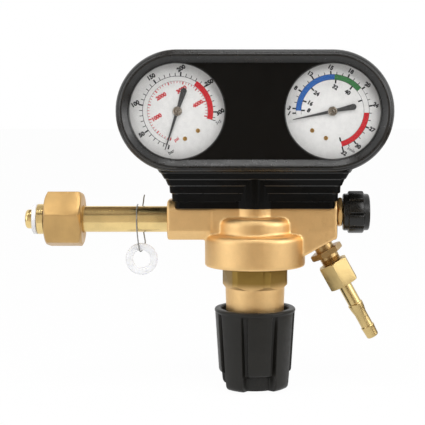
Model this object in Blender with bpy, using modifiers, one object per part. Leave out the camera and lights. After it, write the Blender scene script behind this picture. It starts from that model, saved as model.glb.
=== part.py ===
"""Gas pressure regulator with two gauges, modelled as the separate pieces of the real product.

The origin is the centre of the inlet's sealing face, on the stem's axis. +X runs along the
stem into the body, +Z is up, and the dials face -Y.
"""
import math

import bmesh
import bpy
from mathutils import Matrix, Vector

MM = 0.001

# Clearances
SEAT_GAP = 0.3 * MM
RUNNING_GAP = 0.4 * MM

# Body: a forging with a round diaphragm housing under a long bar
BODY_X = 136.0 * MM
ARM_LEFT = 54.6 * MM
ARM_RIGHT = 51.2 * MM
BAR_HALF_HEIGHT = 12.4 * MM
BAR_HALF_DEPTH = 11.0 * MM
BAR_FLAT_HALF_HEIGHT = 7.6 * MM
BAR_TOP_HALF_DEPTH = 7.0 * MM
PAD_LENGTH = 27.5 * MM
PAD_RAISE = 0.6 * MM
PAD_HALF_HEIGHT = 7.0 * MM
WEB_REACH = 31.0 * MM
WEB_CORNER_Z = -11.0 * MM
OUTLET_TILT = math.radians(29.0)
OUTLET_INSET = 10.2 * MM
DOME_RADIUS = 23.8 * MM
DOME_TOP_Z = 1.6 * MM
DOME_FILLET = 4.2 * MM
DOME_FOOT_Z = -9.4 * MM
SHOULDER_Z = -14.6 * MM
HOUSING_RADIUS = 31.0 * MM
HOUSING_BOTTOM_Z = -28.5 * MM
HOUSING_FILLET = 1.6 * MM
NECK_RADIUS = 14.5 * MM
BOSS_RADIUS = 9.0 * MM
BOSS_HEIGHT = 5.0 * MM

# Bores of the body
DIAPHRAGM_LEDGE_Z = -18.6 * MM
THREAD_RADIUS = 27.0 * MM
CHAMBER_RADIUS = 20.5 * MM
CHAMBER_TOP_Z = -15.2 * MM
VALVE_BORE_RADIUS = 8.0 * MM
VALVE_BORE_TOP_Z = 7.0 * MM
INLET_PASSAGE_RADIUS = 2.5 * MM
STEM_SOCKET_DEPTH = 14.0 * MM
GAUGE_PORT_RADIUS = 6.6 * MM
GAUGE_PORT_DEPTH = 9.0 * MM
OUTLET_BORE_RADIUS = 4.0 * MM
OUTLET_SOCKET_RADIUS = 5.2 * MM
OUTLET_SOCKET_DEPTH = 6.5 * MM

# Inlet stem, union nut and seals
STEM_RADIUS = 8.2 * MM
COLLAR_RADIUS = 9.5 * MM
COLLAR_LENGTH = 4.3 * MM
NOSE_RADIUS = 6.0 * MM
NOSE_LENGTH = 4.3 * MM
SPIGOT_RADIUS = 5.4 * MM
SEAL_LENGTH = 3.2 * MM
SEAL_RADIUS = 9.4 * MM
FILTER_RADIUS = 3.4 * MM
FILTER_LENGTH = 7.0 * MM
NUT_FLATS = 32.0 * MM
NUT_START = 5.3 * MM
NUT_LENGTH = 23.2 * MM
NUT_THREAD_RADIUS = 0.325 * NUT_FLATS
NUT_LAND = 4.0 * MM
NUT_TURN = math.radians(16.6)
SPARE_SEAL_RADIUS = 10.0 * MM
SPARE_SEAL_BORE = 5.6 * MM
SPARE_SEAL_THICKNESS = 2.4 * MM
SPARE_SEAL_X = BODY_X - 71.3 * MM
SPARE_SEAL_DROP = 25.2 * MM
WIRE_RADIUS = 0.4 * MM

# Bonnet, spring and knob under the body
BONNET_FLATS = 37.2 * MM
BONNET_CORNER_RADIUS = 20.4 * MM
BONNET_TURN = math.radians(22.3)
BONNET_HEX_BOTTOM_Z = -43.4 * MM
BONNET_LAND = 2.0 * MM
BONNET_CHAMFER = 2.6 * MM
BONNET_NECK_RADIUS = 18.3 * MM
BONNET_FLANGE_THICKNESS = 6.0 * MM
BONNET_BOTTOM_Z = -82.0 * MM
BONNET_BORE_RADIUS = 14.6 * MM
BONNET_FLOOR = 7.0 * MM
SCREW_RADIUS = 5.0 * MM
SCREW_PITCH = 1.5 * MM
KNOB_TRAVEL = 7.5 * MM
KNOB_TOP_Z = -55.8 * MM
KNOB_HEIGHT = 50.6 * MM
KNOB_RIM_RADIUS = 25.6 * MM
KNOB_RIM_HEIGHT = 2.0 * MM
KNOB_LOBE_INSET = 0.3 * MM
KNOB_FOOT_RADIUS = 22.3 * MM
KNOB_HOLLOW_RADIUS = 12.6 * MM
KNOB_BORE_RADIUS = 21.2 * MM
KNOB_FLOOR = 9.6 * MM
KNOB_LOBES = 8
KNOB_TURN = math.radians(7.2)
KNOB_SHORT_LOBE = 10.0 * MM
KNOB_RECESS = 3.6 * MM
SPRING_WIRE_RADIUS = 1.6 * MM
SPRING_COIL_RADIUS = 11.8 * MM
SPRING_TURNS = 6.0
BUTTON_THICKNESS = 3.0 * MM

# Diaphragm, nozzle and poppet
DIAPHRAGM_THICKNESS = 1.2 * MM
DIAPHRAGM_RISE = 2.4 * MM
SLIP_RING_THICKNESS = 1.0 * MM
PLATE_RADIUS = 13.6 * MM
PLATE_THICKNESS = 2.5 * MM
NOZZLE_LENGTH = 8.0 * MM
NOZZLE_BORE = 1.6 * MM
POPPET_RADIUS = 4.4 * MM
POPPET_STEM_RADIUS = 1.0 * MM
POPPET_HEIGHT = 5.0 * MM
POPPET_TRAVEL = 0.7 * MM
POPPET_SPRING_WIRE = 0.45 * MM
POPPET_SPRING_RADIUS = 3.0 * MM

# Outlet valve on the right of the body
VALVE_Z = 4.4 * MM
VALVE_FLATS = 17.0 * MM
VALVE_TURN = math.radians(16.7)
VALVE_HEX_LENGTH = 3.4 * MM
VALVE_SHANK_RADIUS = 6.6 * MM
VALVE_SHANK_LENGTH = 9.0 * MM
VALVE_SEAT_X = BODY_X + 31.0 * MM
VALVE_DISC_RADIUS = 4.6 * MM
SPINDLE_RADIUS = 3.0 * MM
SPINDLE_LIFT = 2.0 * MM
VALVE_KNOB_LENGTH = 16.4 * MM
VALVE_KNOB_RADIUS = 13.2 * MM
VALVE_KNOB_END_RADIUS = 11.6 * MM
VALVE_KNOB_LOBES = 9

# Outlet nipple, union nut and hose tail, along the tilted outlet axis
NIPPLE_NECK_RADIUS = 6.0 * MM
NIPPLE_NECK_LENGTH = 2.5 * MM
FLANGE_FLATS = 19.0 * MM
FLANGE_LENGTH = 4.3 * MM
NIPPLE_THREAD_RADIUS = 6.2 * MM
NIPPLE_THREAD_LENGTH = 9.0 * MM
NIPPLE_BORE = 3.0 * MM
UNION_GAP = 3.2 * MM
UNION_FLATS = 17.2 * MM
UNION_LENGTH = 15.7 * MM
TAIL_RADIUS = 3.65 * MM
TAIL_BARB_RADIUS = 4.5 * MM
TAIL_LENGTH = 35.3 * MM
TAIL_BORE = 2.0 * MM
TAIL_COLLAR_RADIUS = 5.6 * MM
TAIL_BARBS = (28.5 * MM, 13.3 * MM)
TAIL_BARB_LENGTH = 5.2 * MM

# Gauges
CASE_RADIUS = 31.5 * MM
GAUGE_OFFSET = CASE_RADIUS + 15.9 * MM
GAUGE_Z = CASE_RADIUS + 36.1 * MM
GAUGE_TILT = math.radians(30.0)
CASE_WALL = 1.0 * MM
CASE_FRONT_Y = -19.4 * MM
CASE_BACK_Y = 9.0 * MM
CASE_BLOWOUT_RADIUS = 9.0 * MM
LENS_THICKNESS = 2.0 * MM
DIAL_Y = -14.2 * MM
DIAL_THICKNESS = 0.8 * MM
DIAL_RADIUS = CASE_RADIUS - 1.9 * MM
POINTER_LIFT = 0.6 * MM
POINTER_THICKNESS = 0.5 * MM
POINTER_LENGTH = DIAL_RADIUS - 4.6 * MM
POINTER_TAIL = 14.8 * MM
HUB_RADIUS = 2.9 * MM
ARBOR_RADIUS = 0.9 * MM
SOCKET_FLATS = 14.0 * MM
SOCKET_THREAD_RADIUS = 6.2 * MM
SOCKET_SHANK_RADIUS = 6.9 * MM
BOURDON_RADIUS = CASE_RADIUS - 9.0 * MM
BOURDON_TUBE_RADIUS = 2.0 * MM

# Rubber boot over the gauges
BOOT_RADIUS = CASE_RADIUS + 5.9 * MM
BOOT_SIDE_RADIUS = BOOT_RADIUS - 1.0 * MM
BOOT_CREST_RADIUS = BOOT_RADIUS - 3.5 * MM
BOOT_OPENING_RADIUS = CASE_RADIUS - 2.4 * MM
BOOT_CREST_Y = -25.0 * MM
BOOT_FACE_Y = -21.0 * MM
BOOT_BACK_Y = 13.6 * MM
BOOT_WALL = 3.0 * MM
BOOT_BACK_HOLE = CASE_RADIUS - 6.5 * MM
SKIRT_BOTTOM_Z = 7.5 * MM
SKIRT_BOTTOM_HALF_LENGTH = 49.6 * MM
SKIRT_HALF_DEPTH = 13.6 * MM
BULGE_RADIUS = 16.9 * MM

# Segments of the round shapes
FINE_STEPS = 28
SPRING_STEPS = 9
POPPET_SPRING_STEPS = 8
STADIUM_STEPS = 10
ROUND_STEPS = 22
SMALL_STEPS = 12
TINY_STEPS = 8


def clear_scene():
    """Removes every object of the open file."""
    for old in list(bpy.data.objects):
        bpy.data.objects.remove(old, do_unlink=True)


def new_collection(name):
    """Adds a collection to the scene."""
    collection = bpy.data.collections.new(name)
    bpy.context.scene.collection.children.link(collection)
    return collection


clear_scene()
PARTS = new_collection("gas_regulator")
CUTTERS = new_collection("cutters")


def material(name, colour, roughness, metallic=0.0):
    """A Principled material with the colour, roughness and metal value of the real surface."""
    made = bpy.data.materials.new(name)
    made.use_nodes = True
    shader = made.node_tree.nodes["Principled BSDF"]
    shader.inputs["Base Color"].default_value = (*colour, 1.0)
    shader.inputs["Roughness"].default_value = roughness
    shader.inputs["Metallic"].default_value = metallic
    return made


FORGED = material("forged_brass", (0.80, 0.52, 0.24), 0.45, 1.0)
BRASS = material("machined_brass", (0.78, 0.56, 0.26), 0.25, 1.0)
STEEL = material("bright_steel", (0.62, 0.62, 0.62), 0.3, 1.0)
RUBBER = material("black_rubber", (0.02, 0.02, 0.02), 0.5)
PLASTIC = material("black_plastic", (0.03, 0.03, 0.03), 0.4)
NYLON = material("white_nylon", (0.85, 0.85, 0.82), 0.4)
DIAL_WHITE = material("dial_white", (0.9, 0.9, 0.88), 0.5)
POINTER_GREY = material("pointer_grey", (0.2, 0.22, 0.24), 0.4)
CLEAR = material("clear_lens", (0.9, 0.92, 0.93), 0.05)
BRONZE = material("sintered_bronze", (0.5, 0.35, 0.2), 0.8, 1.0)


def add(name, mesh, finish=None, frame=None):
    """Adds a mesh as a named object; without a finish it is a hidden cutter."""
    made = bpy.data.objects.new(name, mesh)
    (PARTS if finish else CUTTERS).objects.link(made)
    if finish:
        mesh.materials.append(finish)
    else:
        made.hide_render = True
        made.display_type = "WIRE"
    if frame is not None:
        made.matrix_world = frame
    return made


def mesh_from(name, builder):
    """Makes a mesh from a bmesh that builder fills."""
    mesh = bpy.data.meshes.new(name)
    data = bmesh.new()
    builder(data)
    bmesh.ops.recalc_face_normals(data, faces=data.faces)
    data.to_mesh(mesh)
    data.free()
    return mesh


def turned(name, profile, steps, finish=None, frame=None):
    """Turns a profile of (radius, height) points about the local Z axis, top to bottom outside."""
    mesh = bpy.data.meshes.new(name)
    verts = [(r, 0.0, z) for r, z in profile]
    closed = profile[0][0] > 0.0 or profile[-1][0] > 0.0
    edges = [(i, i + 1) for i in range(len(verts) - 1)]
    if closed:
        edges.append((len(verts) - 1, 0))
    mesh.from_pydata(verts, edges, [])
    made = add(name, mesh, finish, frame=frame)
    screw = made.modifiers.new("turn", "SCREW")
    screw.steps = steps
    screw.render_steps = steps
    screw.use_merge_vertices = True
    screw.merge_threshold = 1e-5
    return made


def solid_profile(*points):
    """A profile of a solid turned shape: closes it on the axis at both ends."""
    return [(0.0, points[0][1]), *points, (0.0, points[-1][1])]


def fillet(centre, radius, start, end, count=4):
    """Points of an arc in the profile plane, angles in degrees from +radius towards +height."""
    points = []
    for i in range(count + 1):
        angle = math.radians(start + (end - start) * i / count)
        points.append((centre[0] + radius * math.cos(angle), centre[1] + radius * math.sin(angle)))
    return points


def cylinder(name, radius, low, high, steps=ROUND_STEPS, finish=None, frame=None):
    """A plain round bar along the local Z axis."""
    return turned(name, solid_profile((radius, high), (radius, low)), steps, finish, frame)


def box(name, low, high, finish=None, frame=None):
    """A box between two corners."""
    def fill(data):
        size = Vector(high) - Vector(low)
        centre = (Vector(high) + Vector(low)) / 2
        place = Matrix.Translation(centre) @ Matrix.Diagonal((*size, 1.0))
        bmesh.ops.create_cube(data, size=1.0, matrix=place)
    return add(name, mesh_from(name, fill), finish, frame=frame)


def loft(name, rings, finish=None, frame=None):
    """A solid through a row of rings with the same number of points."""
    def fill(data):
        loops = [[data.verts.new(point) for point in ring] for ring in rings]
        for lower, upper in zip(loops, loops[1:]):
            for i in range(len(lower)):
                j = (i + 1) % len(lower)
                data.faces.new((lower[i], lower[j], upper[j], upper[i]))
        data.faces.new(list(reversed(loops[0])))
        data.faces.new(loops[-1])
    return add(name, mesh_from(name, fill), finish, frame=frame)


def prism(name, outline, low, high, finish=None, frame=None):
    """A flat outline of (x, y) points raised from low to high along the local Z axis."""
    rings = [[(x, y, level) for x, y in outline] for level in (low, high)]
    return loft(name, rings, finish, frame)


def regular_outline(across_flats, turn=0.0, sides=6):
    """The corners of a regular polygon, the first one turned from +X."""
    radius = across_flats / 2 / math.cos(math.pi / sides)
    angles = [turn + 2 * math.pi * i / sides for i in range(sides)]
    return [(radius * math.cos(angle), radius * math.sin(angle)) for angle in angles]


def boolean(target, tool, operation):
    """Joins, cuts or intersects the target with a hidden tool object."""
    modifier = target.modifiers.new(operation.lower() + "_" + tool.name, "BOOLEAN")
    modifier.object = tool
    modifier.operation = operation
    return target


def cut(target, *tools):
    """Cuts each tool out of the target."""
    for tool in tools:
        boolean(target, tool, "DIFFERENCE")
    return target


def join(target, *tools):
    """Joins each tool to the target."""
    for tool in tools:
        boolean(target, tool, "UNION")
    return target


def hexagon(name, across_flats, low, high, chamfer_radius, turn=0.0, finish=None, frame=None):
    """A hexagon bar with its corners chamfered at both ends by a 30 degree cone."""
    made = prism(name, regular_outline(across_flats, turn), low, high, finish, frame)
    corner = across_flats / math.sqrt(3) + 0.5 * MM
    slope = (corner - chamfer_radius) * math.tan(math.radians(30.0))
    profile = solid_profile((chamfer_radius, high), (corner, high - slope),
                            (corner, low + slope), (chamfer_radius, low))
    envelope = turned(name + "_chamfer", profile, ROUND_STEPS, frame=frame)
    return boolean(made, envelope, "INTERSECT")


def wire(name, points, radius, finish, resolution=2):
    """A round wire through the points, closed at its ends, as a mesh object."""
    curve = bpy.data.curves.new(name + "_curve", "CURVE")
    curve.dimensions = "3D"
    curve.bevel_depth = radius
    curve.bevel_resolution = resolution
    curve.use_fill_caps = True
    spline = curve.splines.new("POLY")
    spline.points.add(len(points) - 1)
    for spot, point in zip(spline.points, points):
        spot.co = (*point, 1.0)
    source = bpy.data.objects.new(name + "_curve", curve)
    CUTTERS.objects.link(source)
    bpy.context.view_layer.update()
    evaluated = source.evaluated_get(bpy.context.evaluated_depsgraph_get())
    mesh = bpy.data.meshes.new_from_object(evaluated)
    bpy.data.objects.remove(source, do_unlink=True)
    data = bmesh.new()
    data.from_mesh(mesh)
    bmesh.ops.remove_doubles(data, verts=data.verts, dist=1e-6)
    bmesh.ops.recalc_face_normals(data, faces=data.faces)
    data.to_mesh(mesh)
    data.free()
    mesh.materials.clear()
    return add(name, mesh, finish)


def coil(radius, low, high, turns, per_turn=16):
    """Points of a helix whose end turns lie flat."""
    points = []
    count = int((turns + 2) * per_turn)
    for i in range(count + 1):
        turn = i / per_turn
        share = min(max((turn - 0.75) / (turns + 0.5), 0.0), 1.0)
        angle = 2 * math.pi * turn
        points.append((radius * math.cos(angle), radius * math.sin(angle), low + (high - low) * share))
    return points


def inside_coil(radius, wire_radius, per_turn):
    """The radius of the largest round bar that fits inside a coil."""
    return radius * math.cos(math.pi / per_turn) - wire_radius - RUNNING_GAP


def frame_along(origin, direction):
    """A frame whose Z axis points along the direction."""
    axis = Vector(direction).normalized()
    rotation = Vector((0.0, 0.0, 1.0)).rotation_difference(axis).to_matrix().to_4x4()
    return Matrix.Translation(origin) @ rotation


# The main axes as frames
ALONG_X = frame_along((0.0, 0.0, 0.0), (1.0, 0.0, 0.0))
BODY_AXIS = Matrix.Translation((BODY_X, 0.0, 0.0))
VALVE_AXIS = frame_along((BODY_X + ARM_RIGHT, 0.0, VALVE_Z), (1.0, 0.0, 0.0))
OUTLET_DIRECTION = Vector((math.sin(OUTLET_TILT), 0.0, -math.cos(OUTLET_TILT)))
CORNER = Vector((BODY_X + ARM_RIGHT, 0.0, WEB_CORNER_Z))
WEB_END_Z = WEB_CORNER_Z - (ARM_RIGHT - WEB_REACH) * math.tan(OUTLET_TILT)
OUTLET_POINT = CORNER - OUTLET_INSET * Vector((math.cos(OUTLET_TILT), 0.0, math.sin(OUTLET_TILT)))
OUTLET_AXIS = frame_along(OUTLET_POINT, OUTLET_DIRECTION)


def bar_section(grow=0.0):
    """The octagonal section of the bar as (y, z) points, anticlockwise."""
    half_height = BAR_HALF_HEIGHT + grow
    half_depth = BAR_HALF_DEPTH + grow
    flat = BAR_FLAT_HALF_HEIGHT + grow * 0.4
    top = BAR_TOP_HALF_DEPTH + grow * 0.4
    quarter = [(half_depth, flat), (top, half_height)]
    return [
        *quarter,
        *[(-y, z) for y, z in reversed(quarter)],
        *[(-y, -z) for y, z in quarter],
        *[(y, -z) for y, z in reversed(quarter)],
    ]


def bar_solid(name, start, end, grow=0.0, finish=None):
    """A length of the bar along X."""
    rings = [[(x, y, z) for y, z in bar_section(grow)] for x in (start, end)]
    return loft(name, rings, finish)


def gauge_frame(side):
    """The frame of one gauge: local -Y faces the viewer and local -Z runs down its stem."""
    place = Matrix.Translation((BODY_X + side * GAUGE_OFFSET, 0.0, GAUGE_Z))
    return place @ Matrix.Rotation(side * GAUGE_TILT, 4, "Y")


def stem_frame(side):
    """The frame of a gauge's stem: local Z runs from the dial's centre down the stem."""
    return gauge_frame(side) @ Matrix.Rotation(math.pi, 4, "X")


def stem_reach():
    """Distance along a stem from the dial's centre to the top of the bar."""
    return (GAUGE_Z - BAR_HALF_HEIGHT) / math.cos(GAUGE_TILT)


def make_body():
    """The forged body with its chambers and bores."""
    left = BODY_X - ARM_LEFT
    right = BODY_X + ARM_RIGHT
    body = bar_solid("regulator_body", left, right, finish=FORGED)
    pad_front = -BAR_HALF_DEPTH - PAD_RAISE
    pad_section = [(pad_front, -PAD_HALF_HEIGHT), (pad_front, PAD_HALF_HEIGHT),
                   (0.0, PAD_HALF_HEIGHT), (0.0, -PAD_HALF_HEIGHT)]
    pad = loft("pad", [[(x, y, z) for y, z in pad_section] for x in (left, left + PAD_LENGTH)])
    web_outline = [
        (BODY_X, 0.0),
        (right, 0.0),
        (right, WEB_CORNER_Z),
        (BODY_X + WEB_REACH, WEB_END_Z),
        (BODY_X + WEB_REACH - 8.0 * MM, WEB_END_Z - 3.0 * MM),
        (BODY_X, WEB_END_Z),
    ]
    rings = [[(x, y, z) for x, z in web_outline] for y in (-BAR_HALF_DEPTH, BAR_HALF_DEPTH)]
    web = loft("web", rings)
    profile = solid_profile(
        *fillet((DOME_RADIUS - DOME_FILLET, DOME_TOP_Z - DOME_FILLET), DOME_FILLET, 90, 0),
        (DOME_RADIUS, DOME_FOOT_Z + 1.5 * MM),
        (DOME_RADIUS + 1.0 * MM, DOME_FOOT_Z),
        (HOUSING_RADIUS - 2.2 * MM, SHOULDER_Z + 1.5 * MM),
        (HOUSING_RADIUS - 0.6 * MM, SHOULDER_Z + 0.4 * MM),
        (HOUSING_RADIUS, SHOULDER_Z - 1.4 * MM),
        *fillet((HOUSING_RADIUS - HOUSING_FILLET, HOUSING_BOTTOM_Z + HOUSING_FILLET),
                HOUSING_FILLET, 0, -90, 2),
    )
    housing = turned("housing", profile, FINE_STEPS, frame=BODY_AXIS)
    neck = cylinder("neck", NECK_RADIUS, 0.0, BAR_HALF_HEIGHT - 0.6 * MM, ROUND_STEPS, frame=BODY_AXIS)
    join(body, pad, web, housing, neck)
    for side, label in ((-1, "left"), (1, "right")):
        reach = stem_reach()
        boss = cylinder("boss_" + label, BOSS_RADIUS, reach - BOSS_HEIGHT, reach + 9.0 * MM, SMALL_STEPS,
                        frame=stem_frame(side))
        join(body, boss)
        port = cylinder("port_" + label, GAUGE_PORT_RADIUS, reach - BOSS_HEIGHT - 1.0 * MM,
                        reach + GAUGE_PORT_DEPTH - BOSS_HEIGHT, SMALL_STEPS, frame=stem_frame(side))
        cut(body, port)
    chamber = turned("chamber", solid_profile(
        (VALVE_BORE_RADIUS, VALVE_BORE_TOP_Z),
        (VALVE_BORE_RADIUS, CHAMBER_TOP_Z),
        (CHAMBER_RADIUS, CHAMBER_TOP_Z),
        (CHAMBER_RADIUS, DIAPHRAGM_LEDGE_Z),
        (THREAD_RADIUS, DIAPHRAGM_LEDGE_Z),
        (THREAD_RADIUS, HOUSING_BOTTOM_Z - 1.0 * MM),
    ), ROUND_STEPS, frame=BODY_AXIS)
    stem_end = left + STEM_SOCKET_DEPTH
    inlet = turned("inlet_bore", solid_profile(
        (INLET_PASSAGE_RADIUS, BODY_X),
        (INLET_PASSAGE_RADIUS, stem_end),
        (STEM_RADIUS + SEAT_GAP, stem_end),
        (STEM_RADIUS + SEAT_GAP, left - 1.0 * MM),
    ), SMALL_STEPS, frame=ALONG_X)
    shank_end = right - VALVE_SHANK_LENGTH
    valve_bore = turned("valve_bore", solid_profile(
        (VALVE_SHANK_RADIUS + SEAT_GAP, 1.0 * MM),
        (VALVE_SHANK_RADIUS + SEAT_GAP, shank_end - right),
        (VALVE_DISC_RADIUS + RUNNING_GAP, shank_end - right),
        (VALVE_DISC_RADIUS + RUNNING_GAP, VALVE_SEAT_X - right),
        (INLET_PASSAGE_RADIUS, VALVE_SEAT_X - right),
        (INLET_PASSAGE_RADIUS, VALVE_SEAT_X - right - 8.0 * MM),
    ), SMALL_STEPS, frame=VALVE_AXIS)
    feed = cylinder("feed", INLET_PASSAGE_RADIUS, CHAMBER_TOP_Z - 2.0 * MM, VALVE_Z, TINY_STEPS,
                    frame=Matrix.Translation((BODY_X + 17.0 * MM, 0.0, 0.0)))
    feed_run = cylinder("feed_run", INLET_PASSAGE_RADIUS, BODY_X + 17.0 * MM,
                        VALVE_SEAT_X - 4.0 * MM, TINY_STEPS,
                        frame=Matrix.Translation((0.0, 0.0, VALVE_Z)) @ ALONG_X)
    outlet_bore = turned("outlet_bore", solid_profile(
        (OUTLET_SOCKET_RADIUS + SEAT_GAP, 1.0 * MM),
        (OUTLET_SOCKET_RADIUS + SEAT_GAP, -OUTLET_SOCKET_DEPTH),
        (OUTLET_BORE_RADIUS, -OUTLET_SOCKET_DEPTH),
        (OUTLET_BORE_RADIUS, -OUTLET_SOCKET_DEPTH - 13.0 * MM),
    ), SMALL_STEPS, frame=OUTLET_AXIS)
    cut(body, chamber, inlet, valve_bore, feed, feed_run, outlet_bore)
    return body


def make_inlet():
    """The inlet stem with its nose and collar, the filter, the seal and the union nut."""
    stem_end = BODY_X - ARM_LEFT + STEM_SOCKET_DEPTH - SEAT_GAP
    nose_tip = -SEAL_LENGTH - NOSE_LENGTH
    stem = turned("inlet_stem", [
        (STEM_RADIUS, stem_end),
        (STEM_RADIUS, COLLAR_LENGTH),
        (COLLAR_RADIUS, COLLAR_LENGTH),
        (COLLAR_RADIUS, 0.0),
        (SPIGOT_RADIUS, 0.0),
        (SPIGOT_RADIUS, -SEAL_LENGTH),
        (NOSE_RADIUS, -SEAL_LENGTH),
        *fillet((NOSE_RADIUS - 1.8 * MM, nose_tip + 1.8 * MM), 1.8 * MM, 0, -90, 3),
        (FILTER_RADIUS + SEAT_GAP, nose_tip),
        (FILTER_RADIUS + SEAT_GAP, nose_tip + FILTER_LENGTH + 1.0 * MM),
        (INLET_PASSAGE_RADIUS, nose_tip + FILTER_LENGTH + 1.0 * MM),
        (INLET_PASSAGE_RADIUS, stem_end),
    ], ROUND_STEPS, BRASS, ALONG_X)
    cylinder("inlet_filter", FILTER_RADIUS, nose_tip + 0.5 * MM, nose_tip + 0.5 * MM + FILTER_LENGTH,
             TINY_STEPS, BRONZE, ALONG_X)
    turned("inlet_seal", [
        (SEAL_RADIUS, -SEAT_GAP),
        (SEAL_RADIUS, -SEAL_LENGTH + 0.8 * MM),
        (SEAL_RADIUS - 0.8 * MM, -SEAL_LENGTH + SEAT_GAP),
        (SPIGOT_RADIUS + SEAT_GAP, -SEAL_LENGTH + SEAT_GAP),
        (SPIGOT_RADIUS + SEAT_GAP, -SEAT_GAP),
    ], ROUND_STEPS, NYLON, ALONG_X)
    nut_end = NUT_START + NUT_LENGTH
    nut = hexagon("inlet_nut", NUT_FLATS, NUT_START, nut_end, NUT_FLATS / 2 - 0.8 * MM,
                  NUT_TURN, BRASS, ALONG_X)
    bore = turned("nut_bore", solid_profile(
        (STEM_RADIUS + RUNNING_GAP, nut_end + 1.0 * MM),
        (STEM_RADIUS + RUNNING_GAP, nut_end - NUT_LAND),
        (NUT_THREAD_RADIUS, nut_end - NUT_LAND),
        (NUT_THREAD_RADIUS, NUT_START + 1.2 * MM),
        (NUT_THREAD_RADIUS + 1.4 * MM, NUT_START - 0.2 * MM),
        (NUT_THREAD_RADIUS + 1.4 * MM, NUT_START - 1.0 * MM),
    ), ROUND_STEPS, frame=ALONG_X)
    cut(nut, bore)
    return stem


def make_spare_seal():
    """The spare seal and the steel wire that holds it on the stem."""
    centre = Vector((SPARE_SEAL_X, 0.0, -SPARE_SEAL_DROP))
    half = SPARE_SEAL_THICKNESS / 2
    turned("spare_seal", [
        (SPARE_SEAL_RADIUS, half - 0.4 * MM),
        (SPARE_SEAL_RADIUS, -half + 0.4 * MM),
        (SPARE_SEAL_RADIUS - 0.4 * MM, -half),
        (SPARE_SEAL_BORE, -half),
        (SPARE_SEAL_BORE, half),
        (SPARE_SEAL_RADIUS - 0.4 * MM, half),
    ], ROUND_STEPS, NYLON, frame_along(centre, (0.0, -1.0, 0.0)))
    loop = STEM_RADIUS + SEAT_GAP + WIRE_RADIUS
    top_of_bore = -SPARE_SEAL_DROP + SPARE_SEAL_BORE - SEAT_GAP - WIRE_RADIUS
    step_out = half + SEAT_GAP + 2 * WIRE_RADIUS
    points = [
        (SPARE_SEAL_X + 1.8 * MM, 3.4 * MM, loop + 6.0 * MM),
        (SPARE_SEAL_X + 1.0 * MM, 5.0 * MM, loop + 2.5 * MM),
    ]
    for degrees in (50, 20, -10, -40):
        angle = math.radians(degrees)
        points.append((SPARE_SEAL_X + 0.4 * MM, loop * math.cos(angle) * 1.02,
                       loop * math.sin(angle) * 1.02))
    points += [
        (SPARE_SEAL_X + 1.4 * MM, 4.6 * MM, -11.5 * MM),
        (SPARE_SEAL_X + 2.2 * MM, 3.4 * MM, -15.5 * MM),
        (SPARE_SEAL_X + 0.8 * MM, step_out, top_of_bore + 1.6 * MM),
        (SPARE_SEAL_X, half + SEAT_GAP, top_of_bore),
        (SPARE_SEAL_X - 0.4 * MM, 0.0, top_of_bore - 0.2 * MM),
        (SPARE_SEAL_X - 0.8 * MM, -half - SEAT_GAP, top_of_bore),
        (SPARE_SEAL_X - 1.2 * MM, -step_out, top_of_bore + 1.6 * MM),
        (SPARE_SEAL_X - 1.8 * MM, -4.8 * MM, -13.0 * MM),
    ]
    for degrees in (-45, -20, 5, 30, 55, 80, 100):
        angle = math.radians(degrees)
        points.append((SPARE_SEAL_X - 2.2 * MM, -loop * math.cos(angle) * 1.02,
                       loop * math.sin(angle) * 1.02))
    wire("seal_wire", points, WIRE_RADIUS, STEEL, 1)


def make_bonnet():
    """The spring housing: a flange in the body's thread, a hexagon and a neck in the knob."""
    top = HOUSING_BOTTOM_Z - SEAT_GAP
    flange_top = DIAPHRAGM_LEDGE_Z - DIAPHRAGM_THICKNESS - SLIP_RING_THICKNESS - 3 * SEAT_GAP
    bonnet = prism("bonnet", regular_outline(BONNET_FLATS, BONNET_TURN - math.pi / 2),
                   BONNET_HEX_BOTTOM_Z, top + 1.0 * MM, BRASS, BODY_AXIS)
    corners = turned("bonnet_corners", solid_profile(
        (BONNET_CORNER_RADIUS, top + 2.0 * MM),
        (BONNET_CORNER_RADIUS, BONNET_HEX_BOTTOM_Z + BONNET_CHAMFER),
        (BONNET_NECK_RADIUS + 0.5 * MM, BONNET_HEX_BOTTOM_Z),
    ), FINE_STEPS, frame=BODY_AXIS)
    boolean(bonnet, corners, "INTERSECT")
    land = cylinder("bonnet_land", BONNET_CORNER_RADIUS + 0.1 * MM, top - BONNET_LAND,
                    top + 0.5 * MM, FINE_STEPS, frame=BODY_AXIS)
    flange = cylinder("bonnet_flange", THREAD_RADIUS - SEAT_GAP, top, flange_top, ROUND_STEPS,
                      frame=BODY_AXIS)
    neck = turned("bonnet_neck", solid_profile(
        (BONNET_NECK_RADIUS + 0.3 * MM, top + 0.7 * MM),
        (BONNET_NECK_RADIUS + 0.3 * MM, BONNET_HEX_BOTTOM_Z - 0.5 * MM),
        (BONNET_NECK_RADIUS, KNOB_TOP_Z),
        (BONNET_NECK_RADIUS - 0.6 * MM, BONNET_BOTTOM_Z + 1.5 * MM),
        (BONNET_NECK_RADIUS - 2.1 * MM, BONNET_BOTTOM_Z),
    ), ROUND_STEPS, frame=BODY_AXIS)
    join(bonnet, land, flange, neck)
    bore = turned("bonnet_bore", solid_profile(
        (BONNET_BORE_RADIUS, flange_top + 1.0 * MM),
        (BONNET_BORE_RADIUS, BONNET_BOTTOM_Z + BONNET_FLOOR),
        (SCREW_RADIUS + SEAT_GAP, BONNET_BOTTOM_Z + BONNET_FLOOR),
        (SCREW_RADIUS + SEAT_GAP, BONNET_BOTTOM_Z - 1.0 * MM),
    ), ROUND_STEPS, frame=BODY_AXIS)
    cut(bonnet, bore)


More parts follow.
